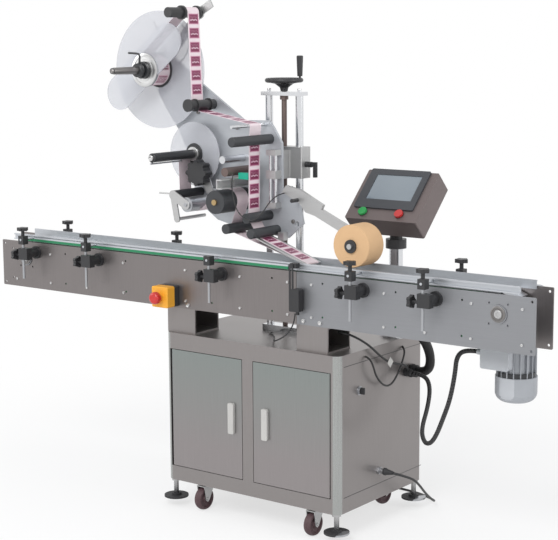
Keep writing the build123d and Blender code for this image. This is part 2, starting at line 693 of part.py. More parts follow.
hub_bottom = column_top + bridge_thickness + 1
rim_top = hub_bottom + 42
rim_pin_reach = handwheel_radius - 11
grip_turn = radians(37)
with BuildPart() as handwheel:
    with BuildSketch(front_view(column_y, column_middle_x, hub_bottom)):
        with BuildLine():
            Polyline((0, 0), (11, 0), (14, 12), (30, 24), (handwheel_radius - 10, 28))
            ThreePointArc((handwheel_radius - 10, 28), (handwheel_radius, 35), (handwheel_radius - 8, 42))
            Polyline((handwheel_radius - 8, 42), (handwheel_radius - 14, 42), (handwheel_radius - 15, 34),
                     (28, 30), (13, 32), (13, 39), (0, 39), (0, 0))
        make_face()
    revolve(axis=Axis((column_middle_x, column_y, 0), (0, 0, 1)))
    bar_z(column_middle_x, column_y, hub_bottom - 1, rim_top, screw_radius - 1.5 + running_clearance,
          Mode.SUBTRACT)
    bar_z(column_middle_x + rim_pin_reach * cos(grip_turn), column_y + rim_pin_reach * sin(grip_turn),
          hub_bottom + 30, rim_top + 66, 3.5)
save(handwheel, "handwheel")

with BuildPart() as handwheel_grip:
    grip_x = column_middle_x + rim_pin_reach * cos(grip_turn)
    grip_y = column_y + rim_pin_reach * sin(grip_turn)
    with BuildSketch(front_view(grip_y, grip_x, rim_top)):
        with BuildLine():
            Polyline((3.5 + running_clearance, 5), (8, 5), (8.5, 10), (10.5, 66))
            ThreePointArc((10.5, 66), (9.3, 69), (6, 70))
            Polyline((6, 70), (0, 70), (0, 66.5), (3.5 + running_clearance, 66.5),
                     (3.5 + running_clearance, 5))
        make_face()
    revolve(axis=Axis((grip_x, grip_y, 0), (0, 0, 1)))
save(handwheel_grip, "handwheel_grip")

# Casters: two that swivel at the front, two fixed at the back, each with its own wheel
caster_inset = 132.0
caster_plate = 4.0
fork_gap = 1.5
front_caster_y = cabinet_front + 46
rear_caster_y = cabinet_rear - 60
caster_xs = (cabinet_left + caster_inset, cabinet_right - caster_inset + 18)
fork_top = caster_wheel_radius * 2 + 4
king_pin_radius = 6.0
axle_radius = 5.0


def add_fork(x, pivot_y, axle_y):
    """The sheet fork that holds one wheel, with its axle."""
    half = caster_wheel_width / 2 + fork_gap + 2.5
    low, high = sorted((pivot_y, axle_y))
    block(x - half, x + half, low - 16, high + 16, fork_top, fork_top + 3)
    for side in (-1, 1):
        plane = side_view(x + side * (half - 1.25) - 1.25)
        with BuildSketch(plane) as leg:
            with BuildLine():
                Polyline((low - 16, fork_top + 1), (axle_y - 9, caster_wheel_radius - 3),
                         (axle_y, caster_wheel_radius - 10), (axle_y + 9, caster_wheel_radius - 3),
                         (high + 16, fork_top + 1), (low - 16, fork_top + 1))
            make_face()
        extrude(leg.sketch, amount=2.5)
    bar_x(x - half - 3, x + half + 3, axle_y, caster_wheel_radius, axle_radius)


def make_fork(x):
    with BuildPart() as fork:
        add_fork(x, front_caster_y, front_caster_y - caster_trail)
        bar_z(x, front_caster_y, fork_top, cabinet_bottom - 1, king_pin_radius)
    return fork


def make_wheel(x, y):
    """A wheel with a rounded tread, turned about its axle."""
    half = caster_wheel_width / 2
    with BuildPart() as wheel:
        with BuildSketch(Plane(origin=(x, y, caster_wheel_radius), x_dir=(1, 0, 0), z_dir=(0, -1, 0))):
            with BuildLine():
                bore = axle_radius + running_clearance
                Polyline((half, bore), (half, 12), (half - 4, 14), (half - 4, caster_wheel_radius - 12),
                         (half, caster_wheel_radius - 9), (half, caster_wheel_radius - 4))
                ThreePointArc((half, caster_wheel_radius - 4), (0, caster_wheel_radius),
                              (-half, caster_wheel_radius - 4))
                Polyline((-half, caster_wheel_radius - 4), (-half, caster_wheel_radius - 9),
                         (4 - half, caster_wheel_radius - 12), (4 - half, 14), (-half, 12), (-half, bore),
                         (half, bore))
            make_face()
        revolve(axis=Axis((x, y, caster_wheel_radius), (1, 0, 0)))
    return wheel


save(make_fork(caster_xs[0]), "caster_fork_left")
save(make_fork(caster_xs[1]), "caster_fork_right")
wheel_places = ((caster_xs[0], front_caster_y - caster_trail), (caster_xs[1], front_caster_y - caster_trail),
                (caster_xs[0], rear_caster_y), (caster_xs[1], rear_caster_y))
wheel_names = ("front_left", "front_right", "rear_left", "rear_right")
for place, name in zip(wheel_places, wheel_names):
    save(make_wheel(*place), f"caster_wheel_{name}")

# Fittings under and beside the cabinet: levelling feet, caster plates, rear forks, glands, mains switch
gland_y = front_face + 205.0
gland_z = 182.0
hose_gland_y = front_face + 395.0
hose_gland_z = 468.0
motor_gland_y = front_face + 360.0
motor_gland_z = 470.0
gland_reach = 22.0
with BuildPart() as floor_fittings:
    for x in (cabinet_left + foot_inset, cabinet_right - foot_inset):
        for y in (cabinet_front + foot_inset, cabinet_rear - foot_inset):
            bar_z(x, y, foot_raise, foot_raise + 6, foot_radius)
            bar_z(x, y, foot_raise + 6, foot_raise + 13, 16)
            bar_z(x, y, foot_raise + 12, cabinet_bottom, 8)
            bar_z(x, y, cabinet_bottom - 8, cabinet_bottom, 14)
    for x in caster_xs:
        for y in (front_caster_y, rear_caster_y):
            block(x - 45, x + 45, y - 30, y + 30, cabinet_bottom - caster_plate, cabinet_bottom)
        bar_z(x, front_caster_y, fork_top + 3 + seat_gap, cabinet_bottom - caster_plate + 0.5, 20)
        bar_z(x, front_caster_y, fork_top, cabinet_bottom - 0.5, king_pin_radius + running_clearance,
              Mode.SUBTRACT)
        block(x - 17, x + 17, rear_caster_y - 16, rear_caster_y + 16, fork_top + 2,
              cabinet_bottom - caster_plate + 0.5)
        add_fork(x, rear_caster_y, rear_caster_y)
    for y, z, radius in ((gland_y, gland_z, 9), (hose_gland_y, hose_gland_z, 20),
                         (motor_gland_y, motor_gland_z, 12)):
        bar_x(cabinet_right, cabinet_right + gland_reach, y, z, radius)
        with BuildSketch(side_view(cabinet_right, y, z)):
            RegularPolygon(radius + 3, 6)
        extrude(amount=8)
    bar_x(cabinet_right, cabinet_right + 4, front_face + 96, 460, 14)
    bar_x(cabinet_right + 4, cabinet_right + 9, front_face + 96, 460, 11)
    block(cabinet_right + 8, cabinet_right + 20, front_face + 93, front_face + 99, 450, 470)
save(floor_fittings, "floor_fittings")

# Carriage on the columns, with the arm that carries the head plate
lever_y = column_y
lever_z = 1130.0
with BuildPart() as carriage:
    block(column_middle_x - carriage_width / 2, column_middle_x + carriage_width / 2, carriage_front,
          column_y + carriage_depth / 2, carriage_bottom, carriage_bottom + carriage_height)
    block(column_middle_x - 50, column_middle_x + 40, head_back, carriage_front + 1, carriage_bottom,
          carriage_bottom + 90)
    fillet(carriage.edges().filter_by(Axis.Z), 3)
    for side in (-1, 1):
        bar_z(column_middle_x + side * column_spacing / 2, column_y, carriage_bottom - 1,
              carriage_bottom + carriage_height + 1, column_radius + running_clearance, Mode.SUBTRACT)
    bar_z(column_middle_x, column_y, carriage_bottom - 1, carriage_bottom + carriage_height + 1,
          screw_radius + running_clearance, Mode.SUBTRACT)
    bar_x(column_middle_x + 40, column_middle_x + carriage_width / 2 + 1, lever_y, lever_z,
          5 + running_clearance, Mode.SUBTRACT)
save(carriage, "carriage")

lever_x = column_middle_x + carriage_width / 2
with BuildPart() as carriage_lever:
    bar_x(lever_x - 10, lever_x + 6, lever_y, lever_z, 5)
    bar_x(lever_x + seat_gap, lever_x + 22, lever_y, lever_z, 9)
    block(lever_x + 12, lever_x + 40, lever_y - 5, lever_y + 5, lever_z - 5, lever_z + 8)
    block(lever_x + 30, lever_x + 41, lever_y - 5, lever_y + 5, lever_z - 40, lever_z + 8)
save(carriage_lever, "carriage_lever")

# Head plate: one cut plate that carries every roller, with the bore of each shaft
bearing_bore = stub_radius + running_clearance
hole_x, hole_z = 163.0, 953.0
with BuildPart() as head_plate:
    with BuildSketch(front_view(head_back)):
        with BuildLine():
            Polyline((-403, 1357), (-373, 1306), (-317, 1233), (-269, 1146), (-250, 1040), (-222, 990),
                     (-154, 945), (-63, 925), (128, 906), (187, 955), (165, 1050), (140, 1070), (106, 1060),
                     (105, 1203), (76, 1246), (56, 1271), (-43, 1269), (-206, 1375), (-339, 1471))
            Line((-339, 1471), (-403, 1357))
        make_face()
        with Locations((reel_x, reel_z)):
            Circle(58)
    extrude(amount=head_plate_thickness)
    bar_y(hole_x, hole_z, head_face - 1, head_back + 1, 9, Mode.SUBTRACT)
    bar_y(reel_x, reel_z, head_face - 1, head_back + 1, 9.5 + running_clearance, Mode.SUBTRACT)
    for x, z in ((mid_roller_x, mid_roller_z), (entry_roller_x, entry_roller_z),
                 (peel_roller_x, peel_roller_z),
                 (traction_x, traction_z), (nip_x, nip_z), (rewind_x, rewind_z),
                 (press_pivot_x, press_pivot_z)):
        bar_y(x, z, head_face - 1, head_back + 1, bearing_bore, Mode.SUBTRACT)
save(head_plate, "head_plate")

# Unwind arm: flat bar from the reel axis up to the top roller, on spacers in front of the head plate
arm_front = head_face - 13.0
arm_back = head_face - 7.0
tip_x, tip_z = top_roller_x + 53.0, top_roller_z + 30.0
with BuildPart() as unwind_arm:
    with BuildSketch(front_view(arm_back)) as arm_outline:
        with Locations(Location((reel_x, reel_z, 0), (0, 0, arm_slope))):
            with Locations((arm_length / 2, 0)):
                Rectangle(arm_length, 30)
        with Locations((reel_x, reel_z)):
            Circle(30)
        with Locations((top_roller_x, top_roller_z)):
            Circle(20)
        tip_slope = degrees(atan2(tip_z - top_roller_z, tip_x - top_roller_x))
        with Locations(Location((top_roller_x, top_roller_z, 0), (0, 0, tip_slope))):
            with Locations((30, 0)):
                Rectangle(60, 26)
    extrude(amount=arm_back - arm_front)
    for x, z in ((reel_x + 20, reel_z + 8), (reel_x - 20, reel_z - 8)):
        bar_y(x, z, arm_back - 1, head_face, 6)
    bar_y(reel_x, reel_z, arm_front - 1, arm_back + 1, 9.5 + running_clearance, Mode.SUBTRACT)
    bar_y(top_roller_x, top_roller_z, arm_front - 1, arm_back + 1, bearing_bore, Mode.SUBTRACT)
    # Brake rod that stands beside the disc
    with Locations(front_view(arm_back + 1.5, reel_x + 20, reel_z + 23)):
        Cylinder(3, 6, align=ON_END)
save(unwind_arm, "unwind_arm")

# Reel: shaft with its nose rod, hub, rear disc, metal flange and clear stop strip
disc_front = web_back + 6
with BuildPart() as reel_spindle:
    bar_y(reel_x, reel_z, front_face - 135, head_back + 8, 9.5)
    bar_y(reel_x, reel_z, head_back + seat_gap, head_back + 7, 16)
    bar_y(reel_x, reel_z, web_front - 3, disc_front + 1, core_radius - 0.3)
    bar_y(reel_x, reel_z, disc_front, disc_front + disc_thickness, reel_disc_radius)
    bar_y(reel_x, reel_z, disc_front + disc_thickness - 1, arm_front - seat_gap, 27)
    bar_y(reel_x, reel_z, web_front - 4, web_front - seat_gap, 54)
    bar_y(reel_x, reel_z, front_face, front_face + 18, 27)
    with BuildSketch(front_view(web_front - 3, reel_x, reel_z)):
        with Locations(Location((0, 0, 0), (0, 0, 38.7))):
            with Locations((0, 12)):
                SlotOverall(380, 113)
    extrude(amount=4)
    bar_y(reel_x, reel_z, front_face + 10, web_front + 1, 20)
save(reel_spindle, "reel_spindle")

with BuildPart() as label_roll:
    bar_y(reel_x, reel_z, web_front, disc_front - seat_gap, roll_radius)
    bar_y(reel_x, reel_z, web_front - 1, disc_front + 1, core_radius, Mode.SUBTRACT)
save(label_roll, "label_roll")


def make_roller(x, z, y_front, y_back, radius, end_bead=0.0):
    """A roller whose stub runs in the plate behind it and is kept there by a ring."""
    with BuildPart() as roller:
        bar_y(x, z, y_front, y_back, radius)
        fillet(roller.edges().sort_by(Axis.Y)[0], min(4, radius / 4))
        if end_bead:
            for y in (y_front, web_front - 8, web_back + 2):
                bar_y(x, z, y, y + 6, radius + end_bead)
        bar_y(x, z, y_back - 1, head_back + 6, stub_radius)
        bar_y(x, z, head_back + seat_gap, head_back + 5, stub_radius + 3)
    return roller


with BuildPart() as top_roller:
    bar_y(top_roller_x, top_roller_z, front_face - 49, arm_front - seat_gap, guide_radius)
    for y in (web_front - 14, web_back + 2):
        bar_y(top_roller_x, top_roller_z, y, y + 8, guide_radius + 6)
    bar_y(top_roller_x, top_roller_z, arm_front - 1, arm_back + 6, stub_radius)
    bar_y(top_roller_x, top_roller_z, arm_back + seat_gap, arm_back + 5, stub_radius + 3)
save(top_roller, "top_roller")

roller_end = head_face - seat_gap
save(make_roller(mid_roller_x, mid_roller_z, front_face - 15, roller_end, guide_radius, 4), "mid_roller")
save(make_roller(entry_roller_x, entry_roller_z, front_face - 82, roller_end, roller_radius), "entry_roller")
save(make_roller(peel_roller_x, peel_roller_z, front_face - 26, roller_end, roller_radius), "peel_roller")

cheek_front = front_face - 27.0
cheek_back = front_face - 22.0
pulley_radius = 20.0
pulley_front = head_back + 4.0
pulley_back = head_back + 16.0
with BuildPart() as traction_roller:
    bar_y(traction_x, traction_z, front_face - 40, head_face - 8, traction_radius)
    bar_y(traction_x, traction_z, front_face - 46, front_face - 39, 9)
    bar_y(traction_x, traction_z, head_face - 9, pulley_back + 20, stub_radius)
    bar_y(traction_x, traction_z, pulley_front, pulley_back, pulley_radius)
save(traction_roller, "traction_roller")

with BuildPart() as nip_roller:
    bar_y(nip_x, nip_z, cheek_back + seat_gap, head_face - seat_gap, nip_radius)
    bar_y(nip_x, nip_z, cheek_front - 3, head_back + 6, stub_radius)
    bar_y(nip_x, nip_z, head_back + seat_gap, head_back + 5, stub_radius + 3)
save(nip_roller, "nip_roller")

with BuildPart() as rewind_spindle:
    bar_y(rewind_x, rewind_z, front_face - 120, disc_front + 1, rewind_radius)
    fillet(rewind_spindle.edges().sort_by(Axis.Y)[0], 3)
    bar_y(rewind_x, rewind_z, disc_front, disc_front + disc_thickness, rewind_disc_radius)
    bar_y(rewind_x, rewind_z, disc_front + disc_thickness - 1, head_face - seat_gap, 17)
    bar_y(rewind_x, rewind_z, head_face - 1, pulley_back, stub_radius)
    bar_y(rewind_x, rewind_z, pulley_front, pulley_back, pulley_radius)
    # Clip rod on two lugs under the spindle, clear of the wound liner
    clip_z = rewind_z - rewind_radius - 4
    clip_back = web_front - 3
    bar_y(rewind_x, clip_z, front_face - 126, clip_back, 2.5)
    for y in (front_face - 122, clip_back - 8):
        block(rewind_x - 2, rewind_x + 2, y, y + 6, clip_z, rewind_z - rewind_radius + 3)
save(rewind_spindle, "rewind_spindle")

# Fixed bars of the head: guide bars, cheek plate, and the slide rods beside the labels
knob_stud_x, knob_stud_z = -160.0, 1040.0
lower_rod_x, lower_rod_z = liner_bar_x + 15.0, liner_bar_z - 76.0
with BuildPart() as head_bars:
    bar_y(turn_bar_x, turn_bar_z, front_face - 60, head_face, turn_bar_radius)
    bar_y(lower_roller_x, lower_roller_z, front_face - 8, head_face, roller_radius)
    bar_y(return_bar_x, return_bar_z, front_face - 20, head_face, roller_radius)
    bar_y(traction_x - 8, traction_z + 128, front_face + 8, head_face, 12)
    bar_y(traction_x + 20, traction_z + 93, front_face - 15, head_face, 14)
    bar_y(liner_bar_x, liner_bar_z, cheek_front + 1, head_face, liner_bar_radius)
    bar_y(lower_rod_x, lower_rod_z, cheek_front + 1, head_face, 5.5)
    with BuildSketch(front_view(cheek_back)):
        for end_x, end_z, width in ((lower_rod_x, lower_rod_z, 22), (nip_x, nip_z, 30)):
            reach = hypot(end_x - liner_bar_x, end_z - liner_bar_z)
            lean = degrees(atan2(end_z - liner_bar_z, end_x - liner_bar_x))
            with Locations(Location((liner_bar_x, liner_bar_z, 0), (0, 0, lean))):
                with Locations((reach / 2, 0)):
                    SlotCenterToCenter(reach, width)
    extrude(amount=cheek_back - cheek_front)
    bar_y(nip_x, nip_z, cheek_front - 1, cheek_back + 1, bearing_bore, Mode.SUBTRACT)
    bar_x(liner_bar_x - 58, liner_bar_x - 10, (cheek_front + cheek_back) / 2, liner_bar_z + 4, 2.4)
    # Bracket that carries the tension knob
    bar_y(knob_stud_x, knob_stud_z, front_face + 80, head_face, 9)
    with BuildSketch(front_view(front_face + 84)):
        with BuildLine():
            Polyline((-172, 1034), (-150, 1030), (-146, 1046), (-170, 1110), (-198, 1112), (-200, 1090),
                     (-172, 1034))
        make_face()
    extrude(amount=6)
    bar_y(tension_x, tension_z, front_face + 77, front_face + 85, 5 + running_clearance, Mode.SUBTRACT)
    # Slide rods with their blocks, beside the falling web
    for x in (78, 98):
        bar_z(x, front_face + 92, 1004, 1180, 5)
    for low, high in ((1000, 1018), (1092, 1118), (1165, 1182)):
        block(68, 104, front_face + 82, head_face, low, high)
save(head_bars, "head_bars")

with BuildPart() as tension_knob:
    with BuildSketch(front_view(front_face + 74, tension_x, tension_z)):
        Circle(35)
        with PolarLocations(34, 8):
            Circle(8)
    extrude(amount=34)
    bar_y(tension_x, tension_z, front_face + 73, front_face + 85, 5)
save(tension_knob, "tension_knob")


# The path of the label web round its rollers: each wheel as X, Z, radius and sense of turn
def web_paths():
    """Tangent points of the web's middle line on every wheel, with the normal at each end."""
    gap = web_clearance + web_thickness / 2
    wheels = [(reel_x, reel_z, roll_radius + gap, -1),
              (top_roller_x, top_roller_z, guide_radius + gap, -1),
              (mid_roller_x, mid_roller_z, guide_radius + gap, 1),
              (turn_bar_x, turn_bar_z, turn_bar_radius + gap, -1),
              (entry_roller_x, entry_roller_z, roller_radius + gap, 1),
              (lower_roller_x, lower_roller_z, roller_radius + gap, 1),
              (peel_roller_x, peel_roller_z, roller_radius + gap, 1),
              (peel_tip_x, peel_tip_z, peel_tip_radius + gap, -1),
              (return_bar_x, return_bar_z, roller_radius + gap, -1),
              (traction_x, traction_z, traction_radius + gap, 1),
              (nip_x, nip_z, nip_radius + gap, -1),
              (liner_bar_x, liner_bar_z, liner_bar_radius + gap, -1),
              (rewind_x, rewind_z, rewind_radius + gap, -1)]
    normals = []
    for first, second in zip(wheels, wheels[1:]):
        along = Vector(second[0] - first[0], second[1] - first[1])
        length = along.length
        u = along / length
        w = Vector(-u.Y, u.X)
        lean = (first[3] * first[2] - second[3] * second[2]) / length
        normals.append(u * lean - w * sqrt(1 - lean * lean))
    return wheels, normals


wheels, normals = web_paths()


def web_edge(side):
    """One face of the web as a list of lines and arcs, side +1 or -1 of its middle line."""
    edges = []
    for index, (first, second) in enumerate(zip(wheels, wheels[1:])):
        reach_1 = first[3] * first[2] - side * web_thickness / 2
        reach_2 = second[3] * second[2] - side * web_thickness / 2
        start = Vector(first[0], first[1]) + normals[index] * reach_1
        end = Vector(second[0], second[1]) + normals[index] * reach_2
        edges.append((start, end))
    return edges


with BuildPart() as label_web:
    with BuildSketch(front_view(web_back)):
        with BuildLine():
            ends = []
            for side in (1, -1):
                runs = web_edge(side)
                for start, end in runs:
                    Line(start, end)
                for index in range(1, len(runs)):
                    wheel = wheels[index]
                    middle = normals[index - 1] + normals[index]
                    reach = wheel[3] * wheel[2] - side * web_thickness / 2
                    if middle.length < 1e-6:
                        middle = Vector(normals[index].Y, -normals[index].X)
                    apex = Vector(wheel[0], wheel[1]) + middle.normalized() * reach
                    ThreePointArc(runs[index - 1][1], apex, runs[index][0])
                ends.append((runs[0][0], runs[-1][1]))
            Line(ends[0][0], ends[1][0])
            Line(ends[0][1], ends[1][1])
        make_face()
    extrude(amount=web_width)
save(label_web, "label_web")

# Peel plate: a thin blade under the web, with a lug on the head plate
peel_direction = Vector(peel_tip_x - peel_roller_x, peel_tip_z - peel_roller_z)
peel_slope = degrees(atan2(normals[6].X, -normals[6].Y))
peel_length = 200.0
with BuildPart() as peel_plate:
    with BuildSketch(front_view(web_back + 12)):
        with Locations(Location((peel_tip_x, peel_tip_z, 0), (0, 0, peel_slope))):
            with Locations((-peel_length / 2, 0)):
                Rectangle(peel_length, 2 * peel_tip_radius)
            Circle(peel_tip_radius)
    extrude(amount=80)
    block(106, 128, web_back + 8, head_face, 900, 926)
save(peel_plate, "peel_plate")

# Label sensor on a channel rail across the head
with BuildPart() as label_sensor:
    block(-18, 4, front_face - 60, head_face, 1066, 1096)
    block(-14, 5, front_face - 61, head_face - 4, 1070, 1092, Mode.SUBTRACT)
    block(3, 40, front_face + 24, front_face + 40, 1092, 1112)
    block(-12, 6, front_face + 24, front_face + 40, 1095, 1100)
    block(-18, -10, front_face + 20, front_face + 44, 1066, 1100)
save(label_sensor, "label_sensor")

# Press arm and the sponge roller that it lays on the product
press_back = head_face - 3.0
press_front = head_face - 15.0
beam_angle = atan2(sponge_z - 1004, sponge_x - 236)
beam_length = hypot(sponge_z - 1004, sponge_x - 236)
with BuildPart() as press_arm:
    with BuildSketch(front_view(press_back)):
        with BuildLine():
            Polyline((116, 1052), (132, 1073), (187, 1062), (273, 1020), (255, 982), (206, 994), (182, 1022),
                     (116, 1052))
        make_face()
        with Locations(Location((236, 1004, 0), (0, 0, degrees(beam_angle)))):
            with Locations((beam_length / 2, 0)):
                Rectangle(beam_length, 30)
        with Locations((sponge_x, sponge_z)):
            Circle(18)
    extrude(amount=press_back - press_front)
    bar_y(sponge_x, sponge_z, front_face + 2, press_front + 1, 8)
    bar_y(sponge_x, sponge_z, press_front - 4, press_front + 1, 14)
    bar_y(press_pivot_x, press_pivot_z, press_back - 1, head_back + 6, stub_radius)
    bar_y(press_pivot_x, press_pivot_z, press_back - 1, head_face - seat_gap, stub_radius + 6)
    bar_y(press_pivot_x, press_pivot_z, head_back + seat_gap, head_back + 5, stub_radius + 3)
    bar_y(176, 1030, press_front - 30, press_front + 1, 6)
save(press_arm, "press_arm")

with BuildPart() as sponge_roller:
    sponge_back = press_front - 4 - seat_gap
    bar_y(sponge_x, sponge_z, sponge_back - sponge_length, sponge_back, sponge_radius)
    fillet(sponge_roller.edges().filter_by(GeomType.CIRCLE), 3)
    bar_y(sponge_x, sponge_z, front_face + 8, front_face + 14, 20)
    bar_y(sponge_x, sponge_z, front_face, front_face + conveyor_width, 8 + running_clearance, Mode.SUBTRACT)
save(sponge_roller, "sponge_roller")

# Feed drive behind the plate: motor on standoffs, and the belt that turns the rewind spindle
motor_face = pulley_back + 5
with BuildPart() as feed_drive:
    with BuildSketch(front_view(motor_face + 54)):
        with Locations((traction_x, traction_z)):
            RectangleRounded(60, 60, 6)
    extrude(amount=54)
    for x in (-24, 24):
        for z in (-24, 24):
            bar_y(traction_x + x, traction_z + z, head_back, motor_face + 1, 4)
    bar_y(traction_x, traction_z, motor_face - 1, motor_face + 40, bearing_bore, Mode.SUBTRACT)
save(feed_drive, "feed_drive")


# Cords: each is straight runs joined by arcs as large as its two runs allow
def make_cord(points, radius):
    """A cord through points given as X, distance behind the conveyor's front plate, and Z."""
    route = [Vector(x, front_face + y, z) for x, y, z in points]
    radii = []
    for before, here, after in zip(route, route[1:], route[2:]):
        turn = radians((here - before).get_angle(after - here))
        radii.append(0.45 * min((here - before).length, (after - here).length) / tan(turn / 2))
    print("bend radii", [round(value) for value in radii])
    with BuildPart() as tube:
        with BuildLine():
            path = FilletPolyline(*route, radius=radii)
        with BuildSketch(Plane(origin=route[0], z_dir=route[1] - route[0])):
            Circle(radius)
        sweep()
    print("volume over section times length", tube.part.volume / (pi * radius ** 2 * path.length))
    return tube


gland_face = cabinet_right + gland_reach
mains_radius = 4.0
mains_route = ((gland_face, 205, 182), (gland_face + 35, 205, 182), (gland_face + 61, 226, 172),
               (gland_face + 73, 264, 154), (gland_face + 68, 306, 124), (gland_face + 57, 350, 92),
               (gland_face + 43, 400, 60), (gland_face + 31, 452, 30), (gland_face + 7, 502, 11),
               (gland_face - 35, 538, 4.8), (gland_face - 89, 560, 4.3), (gland_face - 143, 567, 4.2),
               (gland_face - 197, 566, 4.1))
save(make_cord(mains_route, mains_radius), "mains_cord")

cable_radius = 7.0
cable_start = motor_x - 90
cable_run = cable_start - gland_face
cable_y = motor_y - motor_radius - 8 - front_face
cable_route = ((cable_start, cable_y, 632), (gland_face + 0.888 * cable_run, cable_y, 632),
               (gland_face + 0.809 * cable_run, cable_y + 6, 606), (gland_face + 0.762 * cable_run, 130, 548),
               (gland_face + 0.692 * cable_run, 149, 462), (gland_face + 0.609 * cable_run, 165, 398),
               (gland_face + 0.528 * cable_run, 180, 338), (gland_face + 0.442 * cable_run, 200, 300),
               (gland_face + 0.341 * cable_run, 228, 290), (gland_face + 0.255 * cable_run, 262, 318),
               (gland_face + 0.236 * cable_run, 316, 385), (gland_face + 0.2 * cable_run, 350, 440),
               (gland_face + 0.127 * cable_run, 360, motor_gland_z), (gland_face, 360, motor_gland_z))
save(make_cord(cable_route, cable_radius), "motor_cable")

hose_route = ((gland_face, 395, hose_gland_z), (gland_face + 28, 395, hose_gland_z),
              (gland_face + 51, 392, 490), (gland_face + 59, 378, 535), (gland_face + 58, 345, 585),
              (gland_face + 55, 292, 625), (gland_face + 50, 236, 656), (hose_end_x, 184, hose_end_z),
              (hose_end_x, conveyor_width + hose_gland_reach, hose_end_z))
save(make_cord(hose_route, hose_radius), "control_hose")

# The mains cord's spare length lies in a coil behind the cabinet, with the plug on its end
coil_x = cabinet_right - 209.0
coil_y = front_face + 612.0
coil_height = 16.0
with BuildPart() as mains_cord_coil:
    with BuildSketch(Plane(origin=(coil_x, coil_y, 0), x_dir=(1, 0, 0), z_dir=(0, -1, 0))):
        with Locations((46, coil_height / 2)):
            RectangleRounded(24, coil_height, 5)
    revolve(axis=Axis((coil_x, coil_y, 0), (0, 0, 1)))
save(mains_cord_coil, "mains_cord_coil")

with BuildPart() as mains_plug:
    with BuildSketch(front_view(coil_y + 95, coil_x - 46, 13)):
        RectangleRounded(42, 26, 10)
    extrude(amount=45)
    bar_y(coil_x - 46, coil_height - mains_radius + 0.1, coil_y + 30, coil_y + 51, mains_radius)
    for x in (-7, 7):
        block(coil_x - 46 + x - 3, coil_x - 46 + x + 3, coil_y + 94, coil_y + 113, 15, 17)
    block(coil_x - 48, coil_x - 44, coil_y + 94, coil_y + 116, 6, 10)
save(mains_plug, "mains_plug")
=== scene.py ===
# %% [markdown]
# # A flat labelling machine
# The machine stands on casters: a steel cabinet, a long slat conveyor across it, and a label
# head that hangs from two columns. The solid model already holds every plate, roller and
# joint, so this lesson only dresses it: it gives each piece its finish, and adds the small
# things that catch the eye, such as bolts, labels, cords and the screen.

# %% The solid model
import bpy
import bmesh
import json
from math import atan2, cos, hypot, pi, radians, sin, sqrt
from mathutils import Matrix, Vector
from mathutils.bvhtree import BVHTree


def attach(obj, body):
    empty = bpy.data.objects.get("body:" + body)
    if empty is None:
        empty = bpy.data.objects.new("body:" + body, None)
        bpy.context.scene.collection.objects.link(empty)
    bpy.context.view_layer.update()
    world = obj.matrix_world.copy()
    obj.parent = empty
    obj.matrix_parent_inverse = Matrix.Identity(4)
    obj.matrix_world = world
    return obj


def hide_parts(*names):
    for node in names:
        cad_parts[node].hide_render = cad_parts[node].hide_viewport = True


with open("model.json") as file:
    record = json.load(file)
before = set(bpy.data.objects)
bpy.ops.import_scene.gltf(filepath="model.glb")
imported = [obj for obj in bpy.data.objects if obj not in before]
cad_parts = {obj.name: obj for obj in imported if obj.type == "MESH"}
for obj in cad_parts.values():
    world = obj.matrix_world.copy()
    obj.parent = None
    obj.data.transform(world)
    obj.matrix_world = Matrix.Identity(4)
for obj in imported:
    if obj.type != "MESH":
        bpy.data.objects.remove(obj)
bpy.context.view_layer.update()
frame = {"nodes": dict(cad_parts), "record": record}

front_face = -0.175


def at(x, y, z):
    """A point in metres, from millimetres along X, behind the conveyor's front plate, and up."""
    return Vector((x / 1000, front_face + y / 1000, z / 1000))


# %% [markdown]
# ## The camera
# The photograph looks from the right, a little above the head. A long lens keeps the
# conveyor's edges nearly parallel, so the camera stands far back. The three turns are made
# in the order of a tripod: pan about the upright, tilt about the side axis, then roll.

# %% The camera
camera_data = bpy.data.cameras.new("camera")
camera = bpy.data.objects.new("camera", camera_data)
bpy.context.scene.collection.objects.link(camera)
pan, tilt, roll = radians(37.135), radians(90 - 8.9986), radians(-0.3477)
camera.matrix_world = (Matrix.Translation(at(2892.1, -3597.4, 1531.4)) @ Matrix.Rotation(pan, 4, "Z")
                       @ Matrix.Rotation(tilt, 4, "X") @ Matrix.Rotation(roll, 4, "Z"))
camera_data.sensor_width = 36
camera_data.lens = 96.23
camera_data.shift_x = 0.0045
camera_data.shift_y = 0.0038
camera_data.clip_start = 0.1
camera_data.clip_end = 200
bpy.context.scene.camera = camera
bpy.context.scene.view_settings.view_transform = "Standard"

# %% [markdown]
# ## Light and floor
# A catalogue photograph has a white floor that runs up into a white wall. The world is white
# to the camera and to reflections, but lights the object more gently, so that colours keep
# their depth. Two large soft lamps give the steel its slow gradients.

# %% Light and floor
def seen_rays(tree, ray):
    """One for rays that the eye follows: straight to the camera, mirrored, or through clear stuff."""
    total = ray.outputs["Is Camera Ray"]
    for name in ("Is Glossy Ray", "Is Transmission Ray"):
        larger = tree.nodes.new("ShaderNodeMath")
        larger.operation = "MAXIMUM"
        tree.links.new(total, larger.inputs[0])
        tree.links.new(ray.outputs[name], larger.inputs[1])
        total = larger.outputs[0]
    return total


